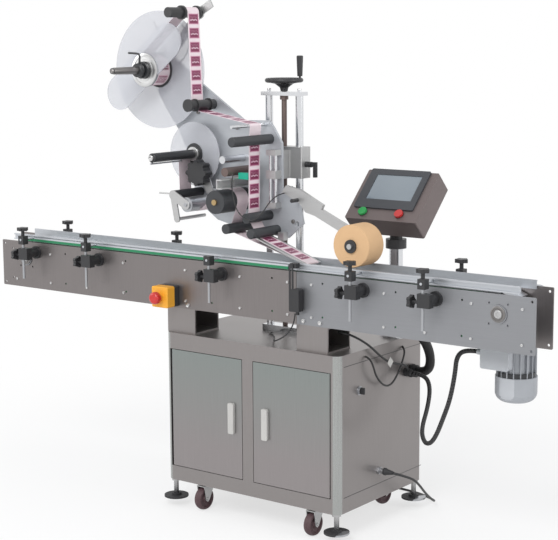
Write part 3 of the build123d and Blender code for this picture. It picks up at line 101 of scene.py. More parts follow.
world = bpy.data.worlds.new("studio")
bpy.context.scene.world = world
world.use_nodes = True
sky = world.node_tree
sky.nodes.clear()
sky_out = sky.nodes.new("ShaderNodeOutputWorld")
seen = sky.nodes.new("ShaderNodeBackground")
seen.inputs["Color"].default_value = (1, 1, 1, 1)
seen.inputs["Strength"].default_value = 1.0
lit = sky.nodes.new("ShaderNodeBackground")
lit.inputs["Color"].default_value = (0.95, 0.97, 1, 1)
lit.inputs["Strength"].default_value = 0.55
ray = sky.nodes.new("ShaderNodeLightPath")
sky_mix = sky.nodes.new("ShaderNodeMixShader")
sky.links.new(seen_rays(sky, ray), sky_mix.inputs["Fac"])
sky.links.new(lit.outputs[0], sky_mix.inputs[1])
sky.links.new(seen.outputs[0], sky_mix.inputs[2])
sky.links.new(sky_mix.outputs[0], sky_out.inputs["Surface"])


def lamp(name, place, aim, size, power):
    data = bpy.data.lights.new(name, "AREA")
    data.shape = "SQUARE"
    data.size = size
    data.energy = power
    thing = bpy.data.objects.new(name, data)
    bpy.context.scene.collection.objects.link(thing)
    thing.location = place
    thing.rotation_mode = "QUATERNION"
    thing.rotation_quaternion = (Vector(aim) - Vector(place)).to_track_quat("-Z", "Y")


lamp("key_lamp", (1.2, -4.2, 4.2), (0, 0, 0.8), 2.6, 170)
lamp("side_lamp", (4.6, 0.6, 2.6), (0, 0, 0.8), 2.2, 70)
lamp("left_lamp", (-4.2, -2.4, 2.6), (0, 0, 0.8), 2.4, 60)

floor_mesh = bpy.data.meshes.new("floor")
bm = bmesh.new()
bmesh.ops.create_grid(bm, x_segments=1, y_segments=1, size=30)
bm.to_mesh(floor_mesh)
bm.free()
floor = bpy.data.objects.new("floor", floor_mesh)
bpy.context.scene.collection.objects.link(floor)

# %% [markdown]
# ## Shader maths as plain expressions
# Every finish below is made of a few procedural patterns. Writing each Math node by hand
# hides the idea, so a small class wraps a socket and turns `1 - mask * 0.3` into nodes.
# Any other node comes from one method, which sets the node up first and then its inputs.

# %% Shader maths
class Signal:
    """A socket that carries a number or a colour, with the usual operators."""

    def __init__(self, finish, socket):
        self.finish = finish
        self.socket = socket

    def maths(self, operation, *values):
        return self.finish.maths(operation, *values)

    def __add__(self, other):
        return self.maths("ADD", self, other)

    __radd__ = __add__

    def __mul__(self, other):
        return self.maths("MULTIPLY", self, other)

    __rmul__ = __mul__

    def __sub__(self, other):
        return self.maths("SUBTRACT", self, other)

    def __rsub__(self, other):
        return self.maths("SUBTRACT", other, self)

    def __gt__(self, other):
        return self.maths("GREATER_THAN", self, other)

    def __lt__(self, other):
        return self.maths("LESS_THAN", self, other)


class Finish:
    """A material with one Principled shader, and the methods that feed it."""

    def __init__(self, name, color, roughness=0.5, metallic=0.0, **fixed):
        self.material = bpy.data.materials.new(name)
        self.material.use_nodes = True
        self.tree = self.material.node_tree
        self.shader = self.tree.nodes["Principled BSDF"]
        self.color = color
        self.shader.inputs["Base Color"].default_value = (*color, 1)
        self.shader.inputs["Roughness"].default_value = roughness
        self.shader.inputs["Metallic"].default_value = metallic
        for key, value in fixed.items():
            self.shader.inputs[key.replace("_", " ")].default_value = value

    def node(self, kind, settings=None, inputs=None, output=0):
        made = self.tree.nodes.new(kind)
        for key, value in (settings or {}).items():
            if key == "stops":
                for stop, (place, tone) in zip(made.color_ramp.elements, value):
                    stop.position = place
                    stop.color = (tone, tone, tone, 1)
            else:
                setattr(made, key, value)
        for key, value in (inputs or {}).items():
            if isinstance(value, Signal):
                self.tree.links.new(value.socket, made.inputs[key])
            else:
                made.inputs[key].default_value = value
        return Signal(self, made.outputs[output])

    def maths(self, operation, *values):
        return self.node("ShaderNodeMath", {"operation": operation}, dict(enumerate(values)))

    def place(self, scale=(1, 1, 1), kind="Object"):
        """Coordinates in metres, stretched by a scale for each axis."""
        where = self.node("ShaderNodeTexCoord", output=kind)
        return self.node("ShaderNodeMapping", {}, {"Vector": where, "Scale": scale})

    def noise(self, scale, stretch=(1, 1, 1), detail=2.0, rough=0.5):
        return self.node("ShaderNodeTexNoise", {}, {"Vector": self.place(stretch), "Scale": scale,
                                                   "Detail": detail, "Roughness": rough})

    def axis(self, name, kind="Object"):
        where = self.node("ShaderNodeTexCoord", output=kind)
        return self.node("ShaderNodeSeparateXYZ", {}, {"Vector": where}, output=name)

    def blend(self, amount, first, second):
        """A colour between two colours."""
        made = self.tree.nodes.new("ShaderNodeMix")
        made.data_type = "RGBA"
        if isinstance(amount, Signal):
            self.tree.links.new(amount.socket, made.inputs[0])
        else:
            made.inputs[0].default_value = amount
        for slot, value in ((6, first), (7, second)):
            if isinstance(value, Signal):
                self.tree.links.new(value.socket, made.inputs[slot])
            else:
                made.inputs[slot].default_value = (*value, 1)
        return Signal(self, made.outputs[2])

    def feed(self, name, signal):
        self.tree.links.new(signal.socket, self.shader.inputs[name])

    def bump(self, height, strength=0.3, distance=0.001):
        self.feed("Normal", self.node("ShaderNodeBump", {}, {"Height": height, "Strength": strength,
                                                             "Distance": distance}))


def shade(color, amount):
    return tuple(min(1.0, channel * amount) for channel in color)


# %% [markdown]
# ## Metals
# Brushed sheet shows fine streaks along one direction: noise that is stretched a hundred
# times longer than wide. A second, slow noise darkens the colour in broad patches, for
# handling marks and as painted uneven reflection on thin sheet. Both move the colour and the
# roughness by a few percent only.

# %% Metals
def brushed(name, color, roughness, along="X", metallic=0.9, streak=0.10, cloud=0.08):
    finish = Finish(name, color, roughness, metallic)
    stretch = {"X": (1, 90, 90), "Y": (90, 1, 90), "Z": (90, 90, 1)}[along]
    fine = finish.noise(9, stretch, 3)
    slow = finish.noise(3.5, detail=1)
    tone = finish.blend(fine, shade(color, 1 - streak), shade(color, 1 + streak))
    # The slow noise darkens the colour in patches: handling marks, and painted uneven reflection.
    finish.feed("Base Color", finish.blend(slow * cloud * 4, tone, shade(color, 0.86)))
    finish.feed("Roughness", fine * 0.12 + (roughness - 0.06) + slow * 0.05)
    finish.bump(fine, 0.06, 0.0004)
    return finish.material


def cast(name, color, roughness, metallic=0.0, grain=420.0, depth=0.12, **fixed):
    """Moulded or painted stuff with a fine even grain and softly varied colour."""
    finish = Finish(name, color, roughness, metallic, **fixed)
    fine = finish.noise(grain, detail=3)
    slow = finish.noise(9, detail=2)
    finish.feed("Base Color", finish.blend(slow, shade(color, 0.88), shade(color, 1.10)))
    finish.feed("Roughness", fine * 0.10 + (roughness - 0.05) + slow * 0.04)
    finish.bump(fine, depth, 0.0005)
    return finish.material


stainless = brushed("stainless", (0.285, 0.265, 0.26), 0.36, "Z", 0.85, 0.12, 0.12)
stainless_side = brushed("stainless_side", (0.235, 0.215, 0.212), 0.34, "Z", 0.85, 0.16, 0.14)
zinc_plate = brushed("zinc_plate", (0.285, 0.29, 0.305), 0.42, "X", 0.75, 0.10, 0.12)
head_sheet = brushed("head_sheet", (0.46, 0.48, 0.51), 0.45, "X", 0.6)
machined = brushed("machined", (0.48, 0.48, 0.48), 0.38, "X", 0.8)
rail_silver = brushed("rail_silver", (0.52, 0.54, 0.57), 0.36, "X", 0.8)
chain_steel = brushed("chain_steel", (0.42, 0.43, 0.45), 0.33, "Y", 0.9)
polished = brushed("polished", (0.70, 0.71, 0.73), 0.16, "Z", 1.0, 0.03, 0.02)
screw_steel = brushed("screw_steel", (0.16, 0.12, 0.11), 0.4, "X", 0.6)
black_plastic = cast("black_plastic", (0.022, 0.022, 0.024), 0.42)
black_satin = cast("black_satin", (0.03, 0.031, 0.034), 0.32, 0.1)
roller_black = cast("roller_black", (0.03, 0.032, 0.036), 0.5)
motor_paint = cast("motor_paint", (0.36, 0.375, 0.40), 0.42, 0.35)
panel_paint = cast("panel_paint", (0.165, 0.135, 0.132), 0.42, 0.5, 900)
estop_red = cast("estop_red", (0.55, 0.015, 0.012), 0.3, Coat_Weight=0.4)
green_button = cast("green_button", (0.02, 0.30, 0.07), 0.3, Coat_Weight=0.4)
red_button = cast("red_button", (0.50, 0.02, 0.02), 0.3, Coat_Weight=0.4)
caster_rubber = cast("caster_rubber", (0.075, 0.04, 0.045), 0.6)
cord_black = cast("cord_black", (0.02, 0.02, 0.021), 0.5)
gear_plastic = cast("gear_plastic", (0.55, 0.56, 0.58), 0.5)
rail_green = cast("rail_green", (0.03, 0.19, 0.07), 0.45)
sponge_tan = cast("sponge_tan", (0.62, 0.40, 0.22), 0.9, 0.0, 160, 0.9)

# %% [markdown]
# ## Finishes that change along an axis
# The doors carry a painted reflection of a cooler room above than below, the guide rail has a
# green liner along its lower edge, and the stop box is an orange lid on a black base. None of
# these borders is an edge of the mesh, so one axis of the object's coordinates is stretched
# between two colours.

# %% Finishes that change along an axis
def colour_along_axis(name, low_color, high_color, axis, start, end, roughness, metallic):
    """A finish that changes colour along an axis, between two places in metres, under fine streaks."""
    finish = Finish(name, low_color, roughness, metallic)
    share = finish.node("ShaderNodeMapRange", {},
                        {"Value": finish.axis(axis), "From Min": start, "From Max": end})
    fine = finish.noise(9, (90, 90, 1), 3)
    tone = finish.blend(share, low_color, high_color)
    finish.feed("Base Color", finish.blend(fine * 0.16, tone, (0.05, 0.05, 0.05)))
    finish.feed("Roughness", fine * 0.12 + (roughness - 0.06))
    finish.bump(fine, 0.06, 0.0004)
    return finish.material


along_y, along_z = 1, 2
liner_top, lid_back = 0.8385, front_face - 0.0245
# Painted reflection on the doors: a warmer colour low, a cooler colour high.
door_steel = colour_along_axis("door_steel", (0.315, 0.29, 0.29), (0.27, 0.298, 0.288), along_z,
                      0.22, 0.54, 0.36, 0.85)
rail_lined = colour_along_axis("rail_lined", (0.03, 0.24, 0.11), (0.55, 0.57, 0.60), along_z,
                      liner_top, liner_top + 0.0003, 0.4, 0.5)
estop_shell = colour_along_axis("estop_shell", (0.90, 0.42, 0.03), (0.02, 0.02, 0.022), along_y,
                       lid_back, lid_back + 0.0002, 0.45, 0.0)

# %% [markdown]
# ## The floor's finish
# The floor glows white for the rays that the eye follows, and less so close to the machine,
# where its shadow should show.

# %% The floor's finish
floor_white = Finish("floor_white", (0.93, 0.93, 0.93), 0.7)
reach = floor_white.node("ShaderNodeVectorMath", {"operation": "LENGTH"}, {0: floor_white.place()},
                         output="Value")
near = floor_white.node("ShaderNodeMapRange", {"interpolation_type": "SMOOTHSTEP"},
                        {"Value": reach, "From Min": 0.7, "From Max": 2.4, "To Min": 0.66, "To Max": 1.0})
floor_ray = floor_white.tree.nodes.new("ShaderNodeLightPath")
glow_share = near * Signal(floor_white, seen_rays(floor_white.tree, floor_ray))
glow = floor_white.tree.nodes.new("ShaderNodeEmission")
glow.inputs["Color"].default_value = (1, 1, 1, 1)
floor_mix = floor_white.tree.nodes.new("ShaderNodeMixShader")
floor_white.tree.links.new(glow_share.socket, floor_mix.inputs["Fac"])
floor_white.tree.links.new(floor_white.shader.outputs[0], floor_mix.inputs[1])
floor_white.tree.links.new(glow.outputs[0], floor_mix.inputs[2])
floor_white.tree.links.new(floor_mix.outputs[0], floor_white.tree.nodes["Material Output"].inputs["Surface"])
floor_mesh.materials.append(floor_white.material)

# %% [markdown]
# ## Finishes on the solid pieces
# Each solid piece keeps its shape and only changes its material.

# %% Finishes on the solid pieces
def dress(material, *names):
    for name in names:
        data = frame["nodes"][name].data
        data.materials.clear()
        data.materials.append(material)


dress(stainless, "cabinet_shell", "door_left", "door_right", "conveyor_brackets", "floor_fittings")
dress(zinc_plate, "end_bearings")
dress(stainless_side, "side_plate_rear")
dress(head_sheet, "head_plate")
dress(chain_steel, "slat_chain", "drive_sprocket", "idler_sprocket", "nip_roller")
dress(rail_green, "chain_supports")
dress(gear_plastic, "control_gear")
dress(motor_paint, "gear_motor")
dress(rail_silver, "guide_rail_front", "guide_rail_rear")
dress(black_plastic, "rail_clamps", "product_sensor", "handwheel", "handwheel_grip", "carriage_lever",
      "tension_knob", "feed_drive", "mid_roller", "top_roller")
dress(estop_shell, "estop_box")
dress(estop_red, "estop_button")
dress(panel_paint, "hmi_housing")
dress(polished, "hmi_post", "guide_columns")
dress(green_button, "start_button")
dress(red_button, "stop_button")
dress(screw_steel, "lead_screw")
dress(machined, "caster_fork_left", "caster_fork_right", "carriage", "unwind_arm", "head_bars", "peel_plate",
      "label_sensor", "press_arm", "reel_spindle")
dress(caster_rubber, *[name for name in frame["nodes"] if name.startswith("caster_wheel")])
dress(roller_black, "entry_roller", "peel_roller", "traction_roller", "rewind_spindle")
dress(sponge_tan, "sponge_roller")
dress(cord_black, "mains_cord", "mains_cord_coil", "mains_plug", "motor_cable", "control_hose")
print("dressed", len(frame["nodes"]), "solid pieces")

# %% [markdown]
# ## Solid pieces with more than one finish
# Many solid pieces are an assembly of materials: a clear disc on a black hub, a steel rod in a
# plastic clamp. Their shape is right already, so a copy of the mesh is merged, its faces are
# sorted into finishes by where they lie, and the copy stands in for the solid.

# %% Copies of solid pieces, with a finish for each region
body_of_node = {}
for body, nodes in frame["record"]["behaviour"]["bodies"].items():
    for node in nodes:
        body_of_node[node] = body


def soften(mesh, angle=32):
    """Smooth shading, with the edges sharper than an angle kept crisp."""
    bm = bmesh.new()
    bm.from_mesh(mesh)
    for face in bm.faces:
        face.smooth = True
    for edge in bm.edges:
        edge.smooth = len(edge.link_faces) == 2 and edge.calc_face_angle(0) < radians(angle)
    bm.to_mesh(mesh)
    bm.free()


def recast(node, finishes, choose):
    """A copy of a solid piece; choose gives each face's finish from its middle in mm and its normal."""
    bm = bmesh.new()
    bm.from_mesh(frame["nodes"][node].data)
    bmesh.ops.remove_doubles(bm, verts=bm.verts, dist=1e-6)
    for face in bm.faces:
        middle = face.calc_center_median()
        spot = Vector((middle.x * 1000, (middle.y - front_face) * 1000, middle.z * 1000))
        face.material_index = choose(spot, face.normal)
    mesh = bpy.data.meshes.new(node + "_dressed")
    bm.to_mesh(mesh)
    bm.free()
    for finish in finishes:
        mesh.materials.append(finish)
    soften(mesh)
    put(mesh, node + "_dressed", body_of_node[node], node)


def put(mesh, name, body, *replaced):
    """A finished mesh becomes a piece that rides on a body."""
    thing = bpy.data.objects.new(name, mesh)
    bpy.context.scene.collection.objects.link(thing)
    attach(thing, body)
    if replaced:
        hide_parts(*replaced)


def from_axis(spot, x, z):
    return hypot(spot.x - x, spot.z - z)


# %% [markdown]
# ## Finishes for the mixed pieces
# Clear discs, chrome bars, rubber, the touch screen and the strip's backing paper complete the
# set. The screen shows only a soft cloudy reflection, painted into its colour, because it is off.

# %% More finishes
clear = Finish("clear_disc", (0.58, 0.59, 0.63), 0.12, 0.0)
clear.shader.inputs["Alpha"].default_value = 0.5
clear.shader.inputs["Coat Weight"].default_value = 0.5
clear_disc = clear.material
chrome_bar = brushed("chrome_bar", (0.66, 0.67, 0.69), 0.2, "Y", 1.0, 0.05, 0.03)
black_rubber = cast("black_rubber", (0.025, 0.025, 0.027), 0.65)
white_pull = cast("white_pull", (0.50, 0.49, 0.47), 0.45)
bezel_dark = cast("bezel_dark", (0.045, 0.048, 0.055), 0.35)
brass_ring = brushed("brass_ring", (0.45, 0.32, 0.16), 0.35, "Y", 0.9)

screen = Finish("touch_screen", (0.20, 0.24, 0.28), 0.12, 0.0, Coat_Weight=0.6)
# The screen's cloudy colour is a painted reflection.
screen_painted_reflection = screen.noise(6, detail=1)
screen.feed("Base Color", screen.blend(screen_painted_reflection, (0.15, 0.185, 0.22), (0.26, 0.30, 0.33)))

paper = Finish("backing_paper", (0.80, 0.76, 0.75), 0.55)
paper_grain = paper.noise(300, detail=3)
paper.feed("Base Color", paper.blend(paper_grain, (0.74, 0.62, 0.66), (0.83, 0.72, 0.75)))
paper.bump(paper_grain, 0.1, 0.0003)
backing_paper = paper.material

# %% [markdown]
# ## The label head
# The axes of spindles and rollers tell one region from another: a face belongs to a disc, hub
# or roller when its middle is close enough to that axis, and at the right depth.

# %% Reel, rewind spindle and head bars
# Axes of reel, rewind spindle, rollers and shafts, as X and Z in mm
reel_x, reel_z = -374.0, 1425.0
rewind_x, rewind_z = -228.0, 1157.0
liner_bar, turn_bar, return_bar = (-224, 1033), (44, 1258), (-15, 938)
lower_roller, peel_roller, sponge_axis = (57, 975), (86, 930), (434, 916)
drive_x, idler_x, shaft_z = 936.0, -930.9, 768.7


def reel_finish(spot, normal):
    reach = from_axis(spot, reel_x, reel_z)
    if reach < 55 and 24 < spot.y < 26:
        return 2
    if spot.y < 1:
        return 1
    if 84.5 < spot.y < 92 and reach > 30 or spot.y < 24 and reach > 28:
        return 0
    if spot.y < 22 or spot.y > 91:
        return 1
    return 2


recast("reel_spindle", [clear_disc, black_satin, machined], reel_finish)


def rewind_finish(spot, normal):
    reach = from_axis(spot, rewind_x, rewind_z)
    if 87 < spot.y < 92 and reach > 18:
        return 0
    if reach > 14.6 and spot.y < 86:
        return 2
    if 92 < spot.y < 113:
        return 2
    return 1


recast("rewind_spindle", [clear_disc, black_satin, chrome_bar], rewind_finish)


def bar_finish(spot, normal):
    if from_axis(spot, *liner_bar) < 16 and spot.y > -21:
        return 1
    if from_axis(spot, *lower_roller) < 17 or from_axis(spot, *return_bar) < 17:
        return 1
    if from_axis(spot, -48, 1150) < 13 or from_axis(spot, *turn_bar) < 6:
        return 2
    if from_axis(spot, -20, 1115) < 15:
        return 3
    if spot.x > 66 and spot.z > 990:
        return 2 if 1019 < spot.z < 1164 and not 1091 < spot.z < 1119 else 0
    return 0


recast("head_bars", [machined, roller_black, chrome_bar, screw_steel], bar_finish)


# %% [markdown]
# ## Rail clamps, guide rail and side plates
# The clamps are black plastic on bright rods. Only the long part of the front guide rail has
# the green liner, and the front plates change from stainless to zinc beside the label head.

# %% Rail clamps, guide rail and side plates
clamp_places = (-893, -593, -60, 474, 722, -882, -370, 726)


def clamp_finish(spot, normal):
    rod = min(hypot(spot.x - x, spot.y - y) for x in clamp_places for y in (-50, 158))
    if rod < 4.8 and spot.z < 826:
        return 1
    return 0


recast("rail_clamps", [black_plastic, chain_steel], clamp_finish)


def front_rail_finish(spot, normal):
    if spot.x < 216 and spot.y < 9 and spot.y > -4 and spot.x > -932:
        return 1
    return 0


recast("guide_rail_front", [rail_silver, rail_lined], front_rail_finish)


def plate_finish(spot, normal):
    return 1 if spot.x > 244 else 0


recast("side_plates_front", [stainless_side, zinc_plate], plate_finish)

# %% [markdown]
# ## Cabinet, doors and fittings
# The cabinet's bent corner gets a lighter, glossier steel as a painted highlight, so its faces are found by
# their slanted normals.
# The doors' pulls are white plastic. The fittings are machined steel, with black rubber on
# feet and cable glands, and a few bright collars.

# %% Cabinet, doors and fittings
# A lighter, glossier steel on the cabinet's bent corner: painted highlight.
corner_painted_highlight = brushed("corner_painted_highlight", (0.40, 0.41, 0.40), 0.24, "Z", 0.9, 0.2, 0.2)


def cabinet_finish(spot, normal):
    return 1 if 0.15 < abs(normal.x) < 0.99 and abs(normal.z) < 0.1 and spot.y < 20 else 0


recast("cabinet_shell", [stainless, corner_painted_highlight], cabinet_finish)


def door_finish(spot, normal):
    return 1 if spot.y < -15.2 and 280 < spot.z < 390 else 0


recast("door_left", [door_steel, white_pull], door_finish)
recast("door_right", [door_steel, white_pull], door_finish)


def fitting_finish(spot, normal):
    if spot.x > 409.2:
        if 440 < spot.z < 480 and spot.y < 120:
            return 2 if spot.x < 418 else 1
        return 2 if spot.z < 200 else 1
    caster = min(hypot(spot.x - x, spot.y - 408) for x in (-145, 295))
    return 1 if spot.z < 56 and caster > 34 else 0


recast("floor_fittings", [machined, black_rubber, chain_steel], fitting_finish)

# %% [markdown]
# ## The tilted panel
# The panel leans back by 45 degrees. Its regions are simple in its own directions, so each
# face's middle is first turned into across, up and out of the panel.

# %% The tilted panel
panel_middle = at(371, 262 + 200 * cos(radians(45)) / 2, 964 + 200 * sin(radians(45)) / 2)
panel_up = Vector((0, cos(radians(45)), sin(radians(45))))
panel_out = Vector((0, -sin(radians(45)), cos(radians(45))))


def panel_place(spot):
    offset = at(spot.x, spot.y, spot.z) - panel_middle
    return offset.x * 1000, offset.dot(panel_up) * 1000, offset.dot(panel_out) * 1000


def panel_finish(spot, normal):
    across, up, out = panel_place(spot)
    if -86 < across < 82 and -23 < up < 79 and 3 < out < 4.5 and normal.dot(panel_out) > 0.9:
        return 2
    if out > 0.3 or (out > -31 and abs(across + 6) < 104 and abs(up - 22) < 74):
        return 1
    if spot.z < 966 and hypot(spot.x - 371, spot.y - 360) < 34:
        return 3
    return 0


recast("hmi_housing", [panel_paint, bezel_dark, screen.material, black_plastic], panel_finish)

# %% [markdown]
# ## Motor, rollers, press arm and sensor
# The motor's box is a lighter paint than its ribs. The rest are small parts of another stuff
# than the piece that they belong to.

# %% Motor, rollers, press arm and sensor
box_paint = cast("box_paint", (0.46, 0.475, 0.50), 0.45, 0.2)


def motor_finish(spot, normal):
    if spot.z < 690 and spot.y < 110:
        return 1
    return 2 if from_axis(spot, drive_x, shaft_z) < 36.5 and spot.y < 121 else 0


recast("gear_motor", [motor_paint, box_paint, machined], motor_finish)


def traction_finish(spot, normal):
    return 1 if spot.y < -41 else 0


recast("traction_roller", [roller_black, brass_ring], traction_finish)


def sponge_finish(spot, normal):
    return 1 if from_axis(spot, *sponge_axis) < 21 and spot.y < 13.8 else 0


recast("sponge_roller", [sponge_tan, black_plastic], sponge_finish)


def arm_finish(spot, normal):
    return 1 if 170 < spot.x < 183 and spot.y < 97.5 else 0


recast("press_arm", [machined, black_plastic], arm_finish)


def sensor_finish(spot, normal):
    return 1 if spot.x > 4.5 and spot.z > 1091 else 0


sensor_green = cast("sensor_green", (0.02, 0.42, 0.28), 0.4)
recast("label_sensor", [machined, sensor_green], sensor_finish)

# %% [markdown]
# ## Turned pieces and fasteners
# Knobs, collars and bearing rings are turned on a lathe, so each is one profile that is spun
# about its axis. Screws repeat many times: one head is made, with its rim bevelled and its
# socket pushed in, and copies of it are gathered into one mesh for each group.

# %% Tools for turned pieces and fasteners
def stand(axis):
    """The turn that lays the upright Z along another direction."""
    return Vector((0, 0, 1)).rotation_difference(Vector(axis)).to_matrix().to_4x4()


def turned(name, profile, centre, axis, material, body, closed=False, steps=40):
    """A piece spun from a profile of (distance along the axis, radius) in mm."""
    bm = bmesh.new()
    verts = [bm.verts.new((radius / 1000, 0, along / 1000)) for along, radius in profile]
    edges = [bm.edges.new(pair) for pair in zip(verts, verts[1:])]
    if closed:
        edges.append(bm.edges.new((verts[-1], verts[0])))
    bmesh.ops.spin(bm, geom=verts + edges, cent=(0, 0, 0), axis=(0, 0, 1), angle=2 * pi, steps=steps,
                   use_merge=True, use_duplicate=False)
    bmesh.ops.remove_doubles(bm, verts=bm.verts, dist=1e-6)
    bmesh.ops.recalc_face_normals(bm, faces=bm.faces)
    bmesh.ops.transform(bm, matrix=Matrix.Translation(at(*centre)) @ stand(axis), verts=bm.verts)
    mesh = bpy.data.meshes.new(name)
    bm.to_mesh(mesh)
    bm.free()
    mesh.materials.append(material)
    soften(mesh)
    put(mesh, name, body)


def screw_head(radius, height):
    """A screw head that stands on the origin, with a bevelled rim and a socket of half its radius."""
    sides, socket = 20, 0.5
    bm = bmesh.new()
    bmesh.ops.create_cone(bm, cap_ends=True, segments=sides, radius1=radius / 1000, radius2=radius / 1000,
                          depth=height / 1000, matrix=Matrix.Translation((0, 0, height / 2000)))
    rim = [edge for edge in bm.edges if all(vert.co.z > height / 2000 for vert in edge.verts)]
    bmesh.ops.bevel(bm, geom=rim, offset=radius * 0.14 / 1000, segments=2, profile=0.5, affect="EDGES",
                    material=-1)
    top = max(bm.faces, key=lambda face: face.calc_center_median().z * 1000 + face.calc_area())
    bmesh.ops.inset_region(bm, faces=[top], thickness=radius * (0.86 - socket) / 1000,
                           use_even_offset=True)
    pushed = bmesh.ops.extrude_discrete_faces(bm, faces=[top])["faces"][0]
    bmesh.ops.translate(bm, vec=(0, 0, -height * 0.55 / 1000), verts=pushed.verts)
    mesh = bpy.data.meshes.new("screw_head")
    bm.to_mesh(mesh)
    bm.free()
    return mesh


def gathered(name, shape, places, axis, material, body):
    """Copies of one small shape at several places, as one piece."""
    bm = bmesh.new()
    for place in places:
        known = set(bm.verts)
        bm.from_mesh(shape)
        fresh = [vert for vert in bm.verts if vert not in known]
        bmesh.ops.transform(bm, matrix=Matrix.Translation(at(*place)) @ stand(axis), verts=fresh)
    mesh = bpy.data.meshes.new(name)
    bm.to_mesh(mesh)
    bm.free()
    mesh.materials.append(material)
    soften(mesh)
    put(mesh, name, body)


def slab(name, low, high, material, body, soft):
    """A block between two corners in mm, with every edge rounded."""
    bm = bmesh.new()
    bmesh.ops.create_cube(bm, size=1)
    size = [(b - a) / 1000 for a, b in zip(low, high)]
    middle = [(a + b) / 2 for a, b in zip(low, high)]
    bmesh.ops.scale(bm, vec=size, verts=bm.verts)
    bmesh.ops.bevel(bm, geom=bm.edges[:], offset=soft / 1000, segments=2, profile=0.5, affect="EDGES",
                    material=-1)
    bmesh.ops.translate(bm, vec=at(*middle), verts=bm.verts)
    mesh = bpy.data.meshes.new(name)
    bm.to_mesh(mesh)
    bm.free()
    mesh.materials.append(material)
    soften(mesh)
    put(mesh, name, body)


def seated(node, places, axis):
    """The places whose whole screw head, 7 mm in radius with its clearance, lies flat on a solid piece."""
    head = 7.0
    data = frame["nodes"][node].data
    tree = BVHTree.FromPolygons([vert.co for vert in data.vertices],
                                [face.vertices for face in data.polygons])
    out = Vector(axis)
    turn = stand(axis)
    kept = []
    for place in places:
        rim = [at(*place)] + [at(*place) + turn @ Vector((head * cos(a) / 1000, head * sin(a) / 1000, 0))
                              for a in (0, pi / 2, pi, 3 * pi / 2)]
        hits = [tree.ray_cast(spot + out * 0.02, -out, 0.0215)[3] for spot in rim]
        if all(hit is not None and 0.0185 < hit for hit in hits):
            kept.append(place)
    print(node, "keeps", len(kept), "of", len(places), "screws")
    return kept


front, rear = (0, -1, 0), (0, 1, 0)
small_head = screw_head(4.2, 3.2)
large_head = screw_head(6.5, 4.6)
bright_screw = brushed("bright_screw", (0.62, 0.62, 0.62), 0.28, "X", 0.95)
dull_steel = brushed("dull_steel", (0.23, 0.22, 0.215), 0.35, "Y", 0.9)

# %% [markdown]
# ## Rods and cords
# A bent rod and a cord are both one smooth line with a round section, so one function makes
# them. The line passes near its points in mm, and its ends lie on the first and the last one.

# %% A rod or cord along a smooth line
def cord_curve(name, points, diameter, material, body="frame"):
    data = bpy.data.curves.new(name, "CURVE")
    data.dimensions = "3D"
    line = data.splines.new("NURBS")
    line.points.add(len(points) - 1)
    for spot, point in zip(line.points, points):
        spot.co = (*at(*point), 1)
    line.order_u = 3
    line.use_endpoint_u = True
    line.resolution_u = 6
    data.bevel_depth = diameter / 2000
    data.bevel_resolution = 4
    data.use_fill_caps = True
    data.materials.append(material)
    thing = bpy.data.objects.new(name, data)
    bpy.context.scene.collection.objects.link(thing)
    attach(thing, body)
    return thing


# %% [markdown]
# ## Reel and rewind spindle
# The reel turns on a steel nose rod with a black collar, and a thin bent crank hangs beside
# it. The roll sits between a ringed metal flange and a black ring, and the rewind spindle
# ends in a bright bolt.

# %% Reel and rewind spindle
turned("reel_nose_sleeve", [(0, 9.6), (2, 12.4), (20, 12.6), (126, 11), (134, 9), (137, 5), (137, 0.2)],
       (reel_x, 0, reel_z), front, dull_steel, "reel")
turned("reel_collar", [(0, 11), (0, 20), (2, 22), (16, 22), (19, 19), (19, 11)],
       (reel_x, -4, reel_z), front, black_satin, "reel", closed=True)
turned("reel_flange", [(0, 28), (4.2, 28), (4.2, 34), (3.0, 35), (3.0, 43), (4.2, 44), (4.2, 51), (3.4, 53.4),
                       (0, 54)], (reel_x, 19, reel_z), front, bright_screw, "reel", closed=True, steps=56)
cord_curve("reel_crank", [(-411, -16, 1480), (-380, -16, 1479), (-364, -16, 1476), (-366, -14, 1458),
                          (-370, -12, 1440)], 7, black_satin, "reel")
turned("roll_ring", [(0, 50.2), (0, 56.5), (1.4, 57.4), (3.2, 56.5), (3.2, 50.2)],
       (reel_x, 87.7, reel_z), front, black_satin, "reel", closed=True, steps=56)
turned("rewind_nose", [(0, 0.2), (0, 8.5), (1, 9.2), (5.5, 9.2), (6.5, 8.2), (6.5, 5), (3, 4.6), (3, 0.2)],
       (rewind_x, -120, rewind_z), front, bright_screw, "rewind")
turned("rewind_collar", [(0, 14.7), (0, 22), (1, 23), (9, 23), (10, 22), (10, 14.7)],
       (rewind_x, 87, rewind_z), front, bright_screw, "rewind", closed=True)
turned("rewind_ring", [(0, 23.2), (0, 33), (1, 34), (3, 34), (4, 33), (4, 23.2)],
       (rewind_x, 88, rewind_z), front, black_satin, "rewind", closed=True)

# %% [markdown]
# ## Bearings, motor and plate screws
# Each end bearing shows as a ring round the shaft's end. Just above the motor's cowl, a black
# ring between the ribs is painted shadow, and two folded seams run along the cabinet's right
# side. Rows of screws hold the long plates: a ray from each place looks for the plate below
# it, and only a screw that lies flat on the plate is kept.

# %% Bearings
for end, x in (("outfeed", drive_x), ("infeed", idler_x)):
    turned(end + "_bearing_rings", [(0, 13), (0, 22), (1.5, 23), (2.4, 21), (2.4, 18.6), (1.2, 18), (1.2, 16),
                                    (2.8, 15), (2.8, 13)], (x, -3.0, shaft_z), front, dull_steel, "frame",
           closed=True)
    turned(end + "_shaft_end", [(0, 12.2), (1.6, 12.2), (2.6, 11), (2.6, 6), (1, 5), (1, 0.2)],
           (x, -4.0, shaft_z), front, machined, "frame")
